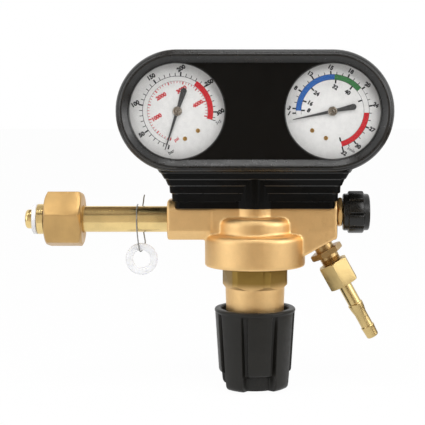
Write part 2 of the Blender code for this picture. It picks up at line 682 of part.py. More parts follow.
def knob_ring(height, radius, groove, short_radius):
    """One ring of the knob: long and short lobes in turn, with a groove between neighbours."""
    points = []
    pitch = 2 * math.pi / KNOB_LOBES
    half_lobe = pitch * 0.41
    for lobe in range(KNOB_LOBES):
        centre = lobe * pitch
        reach = radius if lobe % 2 else short_radius
        for share in (-1.0, 0.0, 1.0):
            angle = centre + half_lobe * share
            points.append((reach * math.cos(angle), reach * math.sin(angle), height))
        angle = centre + pitch / 2
        floor = min(radius - groove, reach)
        points.append((floor * math.cos(angle), floor * math.sin(angle), height))
    return points


def make_knob():
    """The adjusting knob with its hub, the screw, the spring button and the setting spring."""
    bottom = KNOB_TOP_Z - KNOB_HEIGHT
    lobe_radius = KNOB_RIM_RADIUS - KNOB_LOBE_INSET
    slope = (lobe_radius - KNOB_FOOT_RADIUS) / (KNOB_HEIGHT - KNOB_RIM_HEIGHT)

    def envelope(height):
        return lobe_radius - slope * max(KNOB_TOP_Z - KNOB_RIM_HEIGHT - height, 0.0)

    rings = []
    for down, inset, groove in ((0.0, 1.4, 0.0), (0.4, 0.4, 0.0), (1.0, 0.0, 0.0),
                                (2.0, 0.2, 0.1), (2.9, 0.4, 0.4)):
        radius = KNOB_RIM_RADIUS - inset * MM
        rings.append(knob_ring(KNOB_TOP_Z - down * MM, radius, groove * MM, radius))
    for share, groove in ((0.12, 0.9 * MM), (0.39, 1.8 * MM), (0.78, 2.8 * MM)):
        height = KNOB_TOP_Z - share * KNOB_HEIGHT
        rings.append(knob_ring(height, envelope(height), groove, envelope(height)))
    lobe_end = bottom + KNOB_SHORT_LOBE
    rings.append(knob_ring(lobe_end, envelope(lobe_end), 2.9 * MM, envelope(lobe_end) - 0.8 * MM))
    lobe_end -= 0.8 * MM
    rings.append(knob_ring(lobe_end, envelope(lobe_end), KNOB_RECESS, envelope(lobe_end) - KNOB_RECESS))
    rings.append(knob_ring(bottom + 1.6 * MM, envelope(bottom + 1.6 * MM), KNOB_RECESS,
                           envelope(bottom) - KNOB_RECESS))
    rings.append(knob_ring(bottom, envelope(bottom) - 1.6 * MM, 2.0 * MM,
                           envelope(bottom) - KNOB_RECESS - 0.8 * MM))
    rings.reverse()
    frame = BODY_AXIS @ Matrix.Rotation(-math.pi / 2 + KNOB_TURN, 4, "Z")
    knob = loft("adjusting_knob", rings, PLASTIC, frame)
    floor = bottom + KNOB_FLOOR
    cavity = turned("knob_cavity", solid_profile(
        (KNOB_BORE_RADIUS + 0.6 * MM, KNOB_TOP_Z + 1.0 * MM),
        (KNOB_BORE_RADIUS + 0.6 * MM, KNOB_TOP_Z - 0.2 * MM),
        (KNOB_BORE_RADIUS, KNOB_TOP_Z - 1.2 * MM),
        (KNOB_BORE_RADIUS - 1.0 * MM, KNOB_TOP_Z - 12.0 * MM),
        (BONNET_NECK_RADIUS + 0.6 * MM, KNOB_TOP_Z - 14.0 * MM),
        (BONNET_NECK_RADIUS - 0.4 * MM, floor + 8.0 * MM),
        (KNOB_HOLLOW_RADIUS + 1.0 * MM, floor + 4.0 * MM),
        (KNOB_HOLLOW_RADIUS, floor),
    ), ROUND_STEPS, frame=BODY_AXIS)
    socket = cylinder("knob_socket", SCREW_RADIUS + SEAT_GAP, bottom + 3.0 * MM, floor + 1.0 * MM,
                      SMALL_STEPS, frame=BODY_AXIS)
    dish = cylinder("knob_dish", KNOB_HOLLOW_RADIUS, bottom - 1.0 * MM, bottom + 0.8 * MM,
                    ROUND_STEPS, frame=BODY_AXIS)
    cut(knob, cavity, socket, dish)
    button_bottom = BONNET_BOTTOM_Z + BONNET_FLOOR + 2.0 * MM
    cylinder("adjusting_screw", SCREW_RADIUS, bottom + 3.0 * MM + SEAT_GAP,
             button_bottom - SEAT_GAP, SMALL_STEPS, STEEL, BODY_AXIS)
    button_top = button_bottom + BUTTON_THICKNESS
    guide = inside_coil(SPRING_COIL_RADIUS, SPRING_WIRE_RADIUS, SPRING_STEPS)
    turned("spring_button", solid_profile(
        (guide - 1.0 * MM, button_top + 3.0 * MM),
        (guide, button_top + 2.0 * MM),
        (guide, button_top),
        (PLATE_RADIUS, button_top),
        (PLATE_RADIUS, button_bottom),
    ), ROUND_STEPS, STEEL, BODY_AXIS)
    spring_low = button_top + SPRING_WIRE_RADIUS + SEAT_GAP
    spring_high = plate_bottom() - SPRING_WIRE_RADIUS - SEAT_GAP
    points = [(BODY_X + x, y, z) for x, y, z in
              coil(SPRING_COIL_RADIUS, spring_low, spring_high, SPRING_TURNS,
                   SPRING_STEPS)]
    wire("setting_spring", points, SPRING_WIRE_RADIUS, STEEL, 0)


def plate_top():
    """Height of the diaphragm plate's upper face."""
    return DIAPHRAGM_LEDGE_Z - DIAPHRAGM_THICKNESS - 2 * SEAT_GAP - 0.3 * MM


def plate_bottom():
    """Height of the diaphragm plate's lower face, which the setting spring presses."""
    return plate_top() - PLATE_THICKNESS


def make_diaphragm():
    """The diaphragm with its slip ring and plate, the nozzle, the poppet and its spring."""
    seat = DIAPHRAGM_LEDGE_Z - SEAT_GAP
    under = seat - DIAPHRAGM_THICKNESS
    rim = THREAD_RADIUS - SEAT_GAP
    wave = CHAMBER_RADIUS - 3.0 * MM
    turned("diaphragm", solid_profile(
        (PLATE_RADIUS - 1.0 * MM, seat + 0.4 * MM),
        (wave - 1.0 * MM, seat + DIAPHRAGM_RISE),
        (wave + 1.0 * MM, seat + DIAPHRAGM_RISE),
        (CHAMBER_RADIUS - 0.4 * MM, seat),
        (rim, seat),
        (rim, under),
        (CHAMBER_RADIUS - 1.2 * MM, under),
        (wave + 0.6 * MM, under + DIAPHRAGM_RISE),
        (wave - 0.6 * MM, under + DIAPHRAGM_RISE),
        (PLATE_RADIUS, under + 0.3 * MM),
    ), ROUND_STEPS, RUBBER, BODY_AXIS)
    ring_top = under - SEAT_GAP
    turned("slip_ring", [
        (rim, ring_top),
        (rim, ring_top - SLIP_RING_THICKNESS),
        (CHAMBER_RADIUS, ring_top - SLIP_RING_THICKNESS),
        (CHAMBER_RADIUS, ring_top),
    ], ROUND_STEPS, STEEL, BODY_AXIS)
    guide = inside_coil(SPRING_COIL_RADIUS, SPRING_WIRE_RADIUS, SPRING_STEPS)
    turned("diaphragm_plate", solid_profile(
        (PLATE_RADIUS - 0.4 * MM, plate_top()),
        (PLATE_RADIUS, plate_top() - 0.4 * MM),
        (PLATE_RADIUS, plate_bottom()),
        (guide, plate_bottom()),
        (guide - 0.8 * MM, plate_bottom() - 3.0 * MM),
    ), ROUND_STEPS, BRASS, BODY_AXIS)
    nozzle_low = CHAMBER_TOP_Z + 0.5 * MM - 1.5 * MM
    nozzle_high = CHAMBER_TOP_Z + NOZZLE_LENGTH
    turned("seat_nozzle", [
        (VALVE_BORE_RADIUS - SEAT_GAP - 4.0 * MM, nozzle_high),
        (VALVE_BORE_RADIUS - SEAT_GAP - 3.0 * MM, nozzle_high - 1.0 * MM),
        (VALVE_BORE_RADIUS - SEAT_GAP, nozzle_high - 1.0 * MM),
        (VALVE_BORE_RADIUS - SEAT_GAP, nozzle_low),
        (NOZZLE_BORE, nozzle_low),
        (NOZZLE_BORE, nozzle_high),
    ], SMALL_STEPS, BRASS, BODY_AXIS)
    poppet_low = nozzle_high + SEAT_GAP
    pin = inside_coil(POPPET_SPRING_RADIUS, POPPET_SPRING_WIRE, POPPET_SPRING_STEPS)
    turned("valve_poppet", solid_profile(
        (pin, poppet_low + POPPET_HEIGHT + 1.5 * MM),
        (pin, poppet_low + POPPET_HEIGHT),
        (POPPET_RADIUS, poppet_low + POPPET_HEIGHT),
        (POPPET_RADIUS, poppet_low),
        (POPPET_STEM_RADIUS, poppet_low),
        (POPPET_STEM_RADIUS, seat + 0.4 * MM + SEAT_GAP),
    ), SMALL_STEPS, BRASS, BODY_AXIS)
    low = poppet_low + POPPET_HEIGHT + POPPET_SPRING_WIRE + SEAT_GAP
    high = VALVE_BORE_TOP_Z - POPPET_SPRING_WIRE - SEAT_GAP
    points = [(BODY_X + x, y, z) for x, y, z in
              coil(POPPET_SPRING_RADIUS, low, high, 2.0, POPPET_SPRING_STEPS)]
    wire("poppet_spring", points, POPPET_SPRING_WIRE, STEEL, 0)


def valve_knob_ring(height, radius, groove):
    """One ring of the outlet valve's knob, with shallow grooves between flat lobes."""
    points = []
    pitch = 2 * math.pi / VALVE_KNOB_LOBES
    for lobe in range(VALVE_KNOB_LOBES):
        for share in (-0.40, 0.0, 0.40):
            angle = (lobe + share) * pitch
            points.append((radius * math.cos(angle), radius * math.sin(angle), height))
        angle = (lobe + 0.5) * pitch
        points.append(((radius - groove) * math.cos(angle), (radius - groove) * math.sin(angle), height))
    return points


def make_outlet_valve():
    """The outlet valve: its bonnet in the body, the spindle with its knob, and the disc."""
    bonnet = hexagon("outlet_valve_bonnet", VALVE_FLATS, SEAT_GAP, VALVE_HEX_LENGTH,
                     VALVE_FLATS / 2 - 0.3 * MM, VALVE_TURN, BRASS, VALVE_AXIS)
    shank = cylinder("valve_shank", VALVE_SHANK_RADIUS, SEAT_GAP - VALVE_SHANK_LENGTH + 0.5 * MM,
                     SEAT_GAP + 1.0 * MM, SMALL_STEPS, frame=VALVE_AXIS)
    join(bonnet, shank)
    guide = cylinder("valve_guide", SPINDLE_RADIUS + SEAT_GAP, -VALVE_SHANK_LENGTH - 1.0 * MM,
                     VALVE_HEX_LENGTH + 1.0 * MM, SMALL_STEPS, frame=VALVE_AXIS)
    cut(bonnet, guide)
    knob_start = VALVE_HEX_LENGTH + RUNNING_GAP
    knob_end = knob_start + VALVE_KNOB_LENGTH
    plan = (
        (0.0, VALVE_KNOB_END_RADIUS - 0.8 * MM, 0.0),
        (0.8 * MM, VALVE_KNOB_END_RADIUS, 0.0),
        (2.9 * MM, VALVE_KNOB_END_RADIUS, 0.0),
        (3.3 * MM, VALVE_KNOB_RADIUS - 0.5 * MM, 0.9 * MM),
        (3.8 * MM, VALVE_KNOB_RADIUS, 1.3 * MM),
        (12.2 * MM, VALVE_KNOB_RADIUS, 1.3 * MM),
        (12.9 * MM, VALVE_KNOB_END_RADIUS + 0.3 * MM, 0.3 * MM),
        (15.4 * MM, VALVE_KNOB_END_RADIUS - 0.1 * MM, 0.0),
        (VALVE_KNOB_LENGTH, VALVE_KNOB_END_RADIUS - 1.4 * MM, 0.0),
    )
    rings = [valve_knob_ring(knob_start + along, radius, groove) for along, radius, groove in plan]
    knob = loft("outlet_valve_knob", rings, PLASTIC, VALVE_AXIS @ Matrix.Rotation(0.2, 4, "Z"))
    hub = cylinder("valve_knob_bore", SPINDLE_RADIUS + SEAT_GAP, knob_start - 1.0 * MM,
                   knob_end - 3.0 * MM, SMALL_STEPS, frame=VALVE_AXIS)
    cut(knob, hub)
    seat = VALVE_SEAT_X - BODY_X - ARM_RIGHT
    disc_end = seat + SEAT_GAP + 4.0 * MM
    cylinder("outlet_valve_spindle", SPINDLE_RADIUS, disc_end + SEAT_GAP,
             knob_end - 3.0 * MM - SEAT_GAP, SMALL_STEPS, BRASS, VALVE_AXIS)
    cylinder("outlet_valve_disc", VALVE_DISC_RADIUS, seat + SEAT_GAP, disc_end, SMALL_STEPS, BRASS,
             VALVE_AXIS)


def make_outlet():
    """The outlet nipple, its union nut and the barbed hose tail."""
    flange_start = NIPPLE_NECK_LENGTH
    flange_end = flange_start + FLANGE_LENGTH
    nipple = hexagon("outlet_nipple", FLANGE_FLATS, flange_start, flange_end,
                     FLANGE_FLATS / 2 - 0.3 * MM, math.radians(20.0), BRASS, OUTLET_AXIS)
    shank = turned("nipple_shank", solid_profile(
        (NIPPLE_THREAD_RADIUS - 0.6 * MM, flange_end + NIPPLE_THREAD_LENGTH),
        (NIPPLE_THREAD_RADIUS, flange_end + NIPPLE_THREAD_LENGTH - 0.6 * MM),
        (NIPPLE_THREAD_RADIUS, flange_start + 1.0 * MM),
        (NIPPLE_NECK_RADIUS, flange_start + 1.0 * MM),
        (NIPPLE_NECK_RADIUS, SEAT_GAP),
        (OUTLET_SOCKET_RADIUS, SEAT_GAP),
        (OUTLET_SOCKET_RADIUS, SEAT_GAP - OUTLET_SOCKET_DEPTH + 0.5 * MM),
    ), SMALL_STEPS, frame=OUTLET_AXIS)
    join(nipple, shank)
    bore = cylinder("nipple_bore", NIPPLE_BORE, -OUTLET_SOCKET_DEPTH - 1.0 * MM,
                    flange_end + NIPPLE_THREAD_LENGTH + 1.0 * MM, TINY_STEPS, frame=OUTLET_AXIS)
    cut(nipple, bore)
    nut_start = flange_end + UNION_GAP
    nut_end = nut_start + UNION_LENGTH
    nut = hexagon("outlet_union_nut", UNION_FLATS, nut_start, nut_end, UNION_FLATS / 2 - 0.4 * MM,
                  math.radians(30.0), BRASS, OUTLET_AXIS)
    land = 3.0 * MM
    nut_bore = turned("union_bore", solid_profile(
        (TAIL_RADIUS + RUNNING_GAP, nut_end + 1.0 * MM),
        (TAIL_RADIUS + RUNNING_GAP, nut_end - land),
        (NIPPLE_THREAD_RADIUS + RUNNING_GAP, nut_end - land),
        (NIPPLE_THREAD_RADIUS + RUNNING_GAP, nut_start - 1.0 * MM),
    ), SMALL_STEPS, frame=OUTLET_AXIS)
    cut(nut, nut_bore)
    tail_start = flange_end + NIPPLE_THREAD_LENGTH + SEAT_GAP
    collar_end = nut_end - land - SEAT_GAP
    tip = nut_end + TAIL_LENGTH
    profile = [(TAIL_RADIUS - 0.5 * MM, tip)]
    for crest in TAIL_BARBS:
        profile += [
            (TAIL_RADIUS, nut_end + crest + TAIL_BARB_LENGTH),
            (TAIL_BARB_RADIUS, nut_end + crest),
            (TAIL_RADIUS, nut_end + crest - 0.5 * MM),
        ]
    profile += [
        (TAIL_RADIUS, collar_end),
        (TAIL_COLLAR_RADIUS, collar_end),
        (TAIL_COLLAR_RADIUS, tail_start),
        (TAIL_BORE, tail_start),
        (TAIL_BORE, tip),
    ]
    turned("hose_tail", profile, SMALL_STEPS, BRASS, OUTLET_AXIS)


def pointer_outline():
    """The pointer seen from the front, tip along +Z: a thin blade and a thick rounded tail."""
    tail = [(1.9 * MM * math.cos(a), -POINTER_TAIL + 1.9 * MM + 1.9 * MM * math.sin(a))
            for a in (math.radians(d) for d in (180, 225, 270, 315, 360))]
    return [(0.25 * MM, POINTER_LENGTH), (-0.25 * MM, POINTER_LENGTH), (-1.0 * MM, 0.0),
            (-1.0 * MM, -HUB_RADIUS - 0.5 * MM), *tail, (1.0 * MM, -HUB_RADIUS - 0.5 * MM),
            (1.0 * MM, 0.0)]


def make_gauge(side, label, pointer_angle):
    """One gauge: case, lens, dial, pointer, bourdon tube, movement and socket."""
    place = gauge_frame(side)
    front = place @ Matrix.Rotation(math.pi / 2, 4, "X")
    case_front = -CASE_FRONT_Y
    case_back = -CASE_BACK_Y
    step = 2.6 * MM
    inner = CASE_RADIUS - CASE_WALL
    case = turned("gauge_case_" + label, [
        (CASE_RADIUS - step, case_front),
        (CASE_RADIUS - 0.4 * MM, case_front),
        (CASE_RADIUS, case_front - 0.4 * MM),
        (CASE_RADIUS, case_back + 1.5 * MM),
        (CASE_RADIUS - 1.5 * MM, case_back),
        (CASE_BLOWOUT_RADIUS, case_back),
        (CASE_BLOWOUT_RADIUS, case_back + CASE_WALL),
        (inner - 1.0 * MM, case_back + CASE_WALL),
        (inner, case_back + CASE_WALL + 1.0 * MM),
        (inner, case_front - LENS_THICKNESS - 1.2 * MM),
        (inner, case_front - CASE_WALL),
        (CASE_RADIUS - step, case_front - CASE_WALL),
    ], FINE_STEPS, STEEL, front)
    notch = cylinder("case_notch_" + label, SOCKET_SHANK_RADIUS + SEAT_GAP, CASE_RADIUS - 9.0 * MM,
                     CASE_RADIUS + 5.0 * MM, SMALL_STEPS, frame=stem_frame(side))
    cut(case, notch)
    lens_top = case_front - CASE_WALL - SEAT_GAP
    cylinder("lens_" + label, inner - SEAT_GAP, lens_top - LENS_THICKNESS, lens_top, FINE_STEPS, CLEAR,
             front)
    turned("dial_" + label, [
        (DIAL_RADIUS, -DIAL_Y),
        (DIAL_RADIUS, -DIAL_Y - DIAL_THICKNESS),
        (ARBOR_RADIUS + 0.6 * MM, -DIAL_Y - DIAL_THICKNESS),
        (ARBOR_RADIUS + 0.6 * MM, -DIAL_Y),
    ], FINE_STEPS, DIAL_WHITE, front)
    spin = front @ Matrix.Rotation(-pointer_angle, 4, "Z")
    pointer_low = -DIAL_Y + POINTER_LIFT
    pointer_high = pointer_low + POINTER_THICKNESS
    pointer = prism("pointer_" + label, pointer_outline(), pointer_low, pointer_high,
                    POINTER_GREY, spin)
    hub = turned("pointer_hub_" + label, solid_profile(
        (HUB_RADIUS - 0.4 * MM, pointer_high + 0.5 * MM),
        (HUB_RADIUS, pointer_high + 0.2 * MM),
        (HUB_RADIUS, pointer_low - 0.2 * MM),
        (ARBOR_RADIUS, pointer_low - 0.2 * MM),
        (ARBOR_RADIUS, -DIAL_Y - 9.0 * MM),
    ), SMALL_STEPS, frame=spin)
    join(pointer, hub)
    plate_y = -DIAL_Y - DIAL_THICKNESS - 5.0 * MM
    plate = box("movement_plate_" + label, (-8.0 * MM, -22.0 * MM, plate_y - 1.2 * MM),
                (8.0 * MM, 8.0 * MM, plate_y), BRASS, front)
    clearance = cylinder("plate_hole_" + label, ARBOR_RADIUS + RUNNING_GAP, plate_y - 3.0 * MM,
                         plate_y + 3.0 * MM, TINY_STEPS, frame=front)
    cut(plate, clearance)
    socket = box("gauge_socket_" + label,
                 (-SOCKET_FLATS / 2, -6.5 * MM, 15.0 * MM),
                 (SOCKET_FLATS / 2, plate_y - 1.2 * MM - SEAT_GAP, CASE_RADIUS - 4.0 * MM),
                 BRASS, stem_frame(side))
    reach = stem_reach()
    thread = turned("socket_thread_" + label, solid_profile(
        (SOCKET_THREAD_RADIUS, reach - BOSS_HEIGHT + GAUGE_PORT_DEPTH - 0.5 * MM),
        (SOCKET_THREAD_RADIUS, CASE_RADIUS + 12.0 * MM),
        (SOCKET_SHANK_RADIUS, CASE_RADIUS + 12.0 * MM),
        (SOCKET_SHANK_RADIUS, CASE_RADIUS - 5.0 * MM),
    ), SMALL_STEPS, frame=stem_frame(side))
    wrench = hexagon("socket_wrench_" + label, SOCKET_FLATS, CASE_RADIUS + 3.0 * MM,
                     CASE_RADIUS + 13.0 * MM, SOCKET_FLATS / 2 + 0.2 * MM, frame=stem_frame(side))
    port = cylinder("socket_port_" + label, 1.5 * MM, CASE_RADIUS - 8.0 * MM, reach + 10.0 * MM,
                    TINY_STEPS, frame=stem_frame(side))
    join(socket, thread, wrench)
    cut(socket, port)
    tube = []
    for i in range(13):
        angle = math.radians(-159.0 + 255.0 * i / 12)
        tube.append(front @ Vector((BOURDON_RADIUS * math.sin(angle),
                                    BOURDON_RADIUS * math.cos(angle), 1.0 * MM)))
    wire("bourdon_tube_" + label, tube, BOURDON_TUBE_RADIUS, BRASS, 1)


def stadium(radius, y):
    """A ring round both gauges at one depth."""
    points = []
    for side in (1, -1):
        for i in range(STADIUM_STEPS + 1):
            angle = math.pi * (i / STADIUM_STEPS - 0.5) + (0.0 if side > 0 else math.pi)
            points.append((BODY_X + side * GAUGE_OFFSET + radius * math.cos(angle), y,
                           GAUGE_Z + radius * math.sin(angle)))
    return points


def skirt_ring(height, widen, deepen):
    """One ring of the skirt: a rectangle with rounded corners."""
    half_x = SKIRT_BOTTOM_HALF_LENGTH + widen
    corner = 4.0 * MM
    points = []
    for x_sign, y_sign, start in ((1, 1, 0), (-1, 1, 90), (-1, -1, 180), (1, -1, 270)):
        half_y = SKIRT_HALF_DEPTH + (deepen if y_sign < 0 else 0.0)
        for degrees in (0, 45, 90):
            angle = math.radians(start + degrees)
            points.append((BODY_X + x_sign * (half_x - corner) + corner * math.cos(angle),
                           y_sign * (half_y - corner) + corner * math.sin(angle),
                           SKIRT_BOTTOM_Z + height))
    return points


def make_boot():
    """The rubber boot: a rounded guard round both gauges over a stepped skirt."""
    opening = BOOT_OPENING_RADIUS
    plan = (
        (BOOT_SIDE_RADIUS - 3.0 * MM, BOOT_BACK_Y),
        (BOOT_SIDE_RADIUS - 1.0 * MM, BOOT_BACK_Y - 1.6 * MM),
        (BOOT_SIDE_RADIUS - 0.2 * MM, BOOT_BACK_Y - 5.0 * MM),
        (BOOT_SIDE_RADIUS, -11.0 * MM),
        (BOOT_RADIUS, -11.6 * MM),
        (BOOT_RADIUS, -18.5 * MM),
        (BOOT_RADIUS - 0.9 * MM, -22.0 * MM),
        (BOOT_CREST_RADIUS + 1.2 * MM, BOOT_CREST_Y + 0.5 * MM),
        (BOOT_CREST_RADIUS, BOOT_CREST_Y),
        (BOOT_CREST_RADIUS - 1.0 * MM, BOOT_CREST_Y + 0.4 * MM),
        (opening + 0.4 * MM, BOOT_FACE_Y - 0.4 * MM),
        (opening, BOOT_FACE_Y),
    )
    boot = loft("gauge_boot", [stadium(radius, y) for radius, y in plan], RUBBER)
    steps = (
        (0.0, 0.0, 0.0),
        (4.4 * MM, 0.2 * MM, 0.1 * MM),
        (4.7 * MM, 1.6 * MM, 0.9 * MM),
        (9.6 * MM, 1.8 * MM, 1.0 * MM),
        (9.9 * MM, 3.0 * MM, 1.7 * MM),
        (14.3 * MM, 3.3 * MM, 1.9 * MM),
        (14.6 * MM, 4.1 * MM, 2.4 * MM),
        (18.6 * MM, 5.8 * MM, 3.2 * MM),
        (22.4 * MM, 8.6 * MM, 4.4 * MM),
        (29.0 * MM, 13.0 * MM, 6.4 * MM),
    )
    skirt = loft("skirt", [skirt_ring(*step) for step in steps])
    bulge = cylinder("bulge", BULGE_RADIUS, SKIRT_BOTTOM_Z, GAUGE_Z - BOOT_SIDE_RADIUS + 3.0 * MM,
                     ROUND_STEPS, frame=BODY_AXIS)
    join(boot, skirt, bulge)
    face_back = CASE_FRONT_Y - SEAT_GAP
    back_inside = BOOT_BACK_Y - BOOT_WALL
    pocket_radius = (CASE_RADIUS + SEAT_GAP) / math.cos(math.pi / (2 * STADIUM_STEPS))
    pocket = loft("pocket", [stadium(pocket_radius, y) for y in (back_inside, face_back)])
    hollow = box("skirt_hollow",
                 (BODY_X - SKIRT_BOTTOM_HALF_LENGTH + BOOT_WALL, -BAR_HALF_DEPTH, 0.0),
                 (BODY_X + SKIRT_BOTTOM_HALF_LENGTH - BOOT_WALL, BAR_HALF_DEPTH - 0.6 * MM,
                  GAUGE_Z - BOOT_OPENING_RADIUS))
    bar_room = bar_solid("bar_room", BODY_X - ARM_LEFT - 5.0 * MM, BODY_X + ARM_RIGHT + 5.0 * MM,
                         SEAT_GAP)
    neck_room = cylinder("neck_room", NECK_RADIUS + SEAT_GAP, 0.0, BAR_HALF_HEIGHT, ROUND_STEPS,
                         frame=BODY_AXIS)
    cut(boot, pocket, hollow, bar_room, neck_room)
    for side, label in ((-1, "left"), (1, "right")):
        front = Matrix.Translation((BODY_X + side * GAUGE_OFFSET, 0.0, GAUGE_Z))
        front = front @ Matrix.Rotation(math.pi / 2, 4, "X")
        window = cylinder("window_" + label, opening, -face_back - 1.0 * MM,
                          -BOOT_CREST_Y + 1.0 * MM, FINE_STEPS, frame=front)
        back_hole = cylinder("back_hole_" + label, BOOT_BACK_HOLE, -BOOT_BACK_Y - 1.0 * MM,
                             -back_inside + 1.0 * MM, ROUND_STEPS, frame=front)
        cut(boot, window, back_hole)


make_body()
make_inlet()
make_spare_seal()
make_bonnet()
make_knob()
make_diaphragm()
make_outlet_valve()
make_outlet()
make_gauge(-1, "left", math.radians(228.0))
make_gauge(1, "right", math.radians(228.0))
make_boot()
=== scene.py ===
"""Looks of a gas pressure regulator with two gauges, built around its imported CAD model."""
import math

import bmesh
import bpy
from bpy.props import FloatProperty, FloatVectorProperty, IntProperty, PointerProperty
from mathutils import Matrix, Vector


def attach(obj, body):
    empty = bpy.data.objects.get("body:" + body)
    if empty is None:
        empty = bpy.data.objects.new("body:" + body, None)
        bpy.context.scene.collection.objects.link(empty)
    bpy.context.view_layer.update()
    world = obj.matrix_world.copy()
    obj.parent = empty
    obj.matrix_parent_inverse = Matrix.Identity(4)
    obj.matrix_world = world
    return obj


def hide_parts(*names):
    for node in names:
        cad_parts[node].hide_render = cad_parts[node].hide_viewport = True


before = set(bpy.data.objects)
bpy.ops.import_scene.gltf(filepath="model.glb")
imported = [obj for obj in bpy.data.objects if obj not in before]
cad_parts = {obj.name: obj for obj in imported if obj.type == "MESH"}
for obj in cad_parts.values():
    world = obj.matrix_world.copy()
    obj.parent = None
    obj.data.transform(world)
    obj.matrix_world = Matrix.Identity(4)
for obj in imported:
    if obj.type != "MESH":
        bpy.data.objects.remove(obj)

bl_info = {
    "name": "Gas Regulator Looks",
    "version": (1, 0, 0),
    "blender": (4, 5, 0),
    "location": "View3D > Sidebar > Regulator",
    "description": "Builds the visible pieces and finishes of a gas pressure regulator",
    "category": "Object",
}

# Shapes are written in millimetres, and every mesh is brought to metres by this factor
MM = 0.001

# Places that the CAD gives, in millimetres
BODY_X = 136.0
ARM_LEFT = 54.6
ARM_RIGHT = 51.2
VALVE_Z = 4.4
GAUGE_OFFSET = 47.4
GAUGE_Z = 67.6
GAUGE_TILT = math.radians(30.0)
CASE_RADIUS = 31.5
DIAL_Y = -14.2
OUTLET_TILT = math.radians(29.0)
OUTLET_POINT = Vector((178.2788, 0.0, -15.945))
SEAT_GAP = 0.3
HOUSING_BOTTOM_Z = -28.5
KNOB_TOP_Z = -55.8
KNOB_BOTTOM_Z = -106.4

# Angles in degrees above which a piece's edges stay crisp
SMOOTH = 35.0
LOBED_SMOOTH = 38.0


def shade(red, green, blue):
    """The linear colour of a screen colour given from 0 to 255."""
    def linear(value):
        value /= 255.0
        return value / 12.92 if value <= 0.04045 else ((value + 0.055) / 1.055) ** 2.4
    return (linear(red), linear(green), linear(blue))


def colour_setting(name, description, default):
    """A colour that a user may change."""
    return FloatVectorProperty(name=name, description=description, default=default, size=3,
                               min=0.0, max=1.0, subtype="COLOR")


class FinishSettings(bpy.types.PropertyGroup):
    """Colours of the regulator's finishes."""
    forged: colour_setting("Forged brass", "Blasted surface of the body and the spring housing",
                           shade(236, 198, 140))
    machined: colour_setting("Machined brass", "Turned and milled brass",
                             shade(232, 204, 142))
    nut: colour_setting("Nut brass", "Milled faces of the inlet nut", shade(204, 167, 110))
    rubber: colour_setting("Rubber", "Boot over the gauges", shade(15, 15, 14))
    plastic: colour_setting("Knob plastic", "Adjusting knob and outlet valve knob",
                            shade(26, 25, 22))
    nylon: colour_setting("Nylon", "Seals", shade(232, 233, 235))
    dial: colour_setting("Dial", "Printed face of both gauges", shade(226, 225, 223))
    ink: colour_setting("Dial ink", "Black marks and numbers", shade(26, 26, 29))
    red: colour_setting("Dial red", "Red marks and bands", shade(198, 28, 38))
    blue: colour_setting("Dial blue", "Blue band", shade(40, 96, 172))
    green: colour_setting("Dial green", "Green band", shade(58, 124, 70))
    pointer: colour_setting("Pointer", "Pointers of both gauges", shade(62, 62, 62))
    steel: colour_setting("Steel", "Wire, cases and springs", shade(190, 190, 188))


class StageSettings(bpy.types.PropertyGroup):
    """The camera, the floor and the lamps."""
    focal_length: FloatProperty(name="Focal length", description="Lens of the camera",
                                default=105.9, min=20.0, max=300.0, subtype="DISTANCE_CAMERA")
    distance: FloatProperty(name="Distance", description="Camera to the gauges' plane",
                            default=784.0 * MM, unit="LENGTH")
    pitch: FloatProperty(name="Pitch", description="How far the camera looks down",
                         default=math.radians(5.4), subtype="ANGLE")
    frame_shift: FloatProperty(name="Shift", description="Sideways shift of the picture",
                               default=-0.1)
    floor_drop: FloatProperty(name="Floor drop", description="Floor below the adjusting knob",
                              default=1.5 * MM, unit="LENGTH")
    key_power: FloatProperty(name="Key lamp", description="Power of the lamp above the front",
                             default=9.0, subtype="POWER")
    face_power: FloatProperty(name="Face lamp", description="Power of the lamp beside the camera",
                              default=3.8, subtype="POWER")
    fill_power: FloatProperty(name="Fill lamp", description="Power of the lamp at the left",
                              default=1.8, subtype="POWER")
    side_power: FloatProperty(name="Side lamp", description="Power of the lamp at the right",
                              default=3.2, subtype="POWER")


class DetailSettings(bpy.types.PropertyGroup):
    """Sizes of the fine detail."""
    round_steps: IntProperty(name="Round steps", description="Segments of a large round",
                             default=128, min=24, max=256)
    forging_voxel: FloatProperty(name="Forging voxel", description="Fineness of the forged body",
                                 default=0.62 * MM, unit="LENGTH")
    print_lift: FloatProperty(name="Print lift", description="Print above the dial",
                              default=0.03 * MM, unit="LENGTH")


# Mesh helpers

def link(piece):
    """Adds an object to the scene."""
    bpy.context.scene.collection.objects.link(piece)
    return piece


def mesh_piece(name, fill, smooth_angle=SMOOTH):
    """A mesh object that fill makes in millimetres; edges sharper than the angle stay crisp."""
    data = bmesh.new()
    fill(data)
    data.transform(Matrix.Scale(MM, 4))
    weld(data)
    bmesh.ops.recalc_face_normals(data, faces=data.faces)
    crisp(data, smooth_angle)
    mesh = bpy.data.meshes.new(name)
    data.to_mesh(mesh)
    data.free()
    return link(bpy.data.objects.new(name, mesh))


def weld(data):
    """Joins points that lie on one spot and takes out the slivers between them."""
    same_spot = 1e-6
    bmesh.ops.remove_doubles(data, verts=data.verts, dist=same_spot)
    bmesh.ops.dissolve_degenerate(data, edges=data.edges, dist=same_spot)


def crisp(data, smooth_angle):
    """Shades a bmesh smooth, apart from edges sharper than the angle."""
    limit = math.radians(smooth_angle)
    for face in data.faces:
        face.smooth = True
    for edge in data.edges:
        edge.smooth = edge.is_manifold and edge.calc_face_angle(0.0) < limit


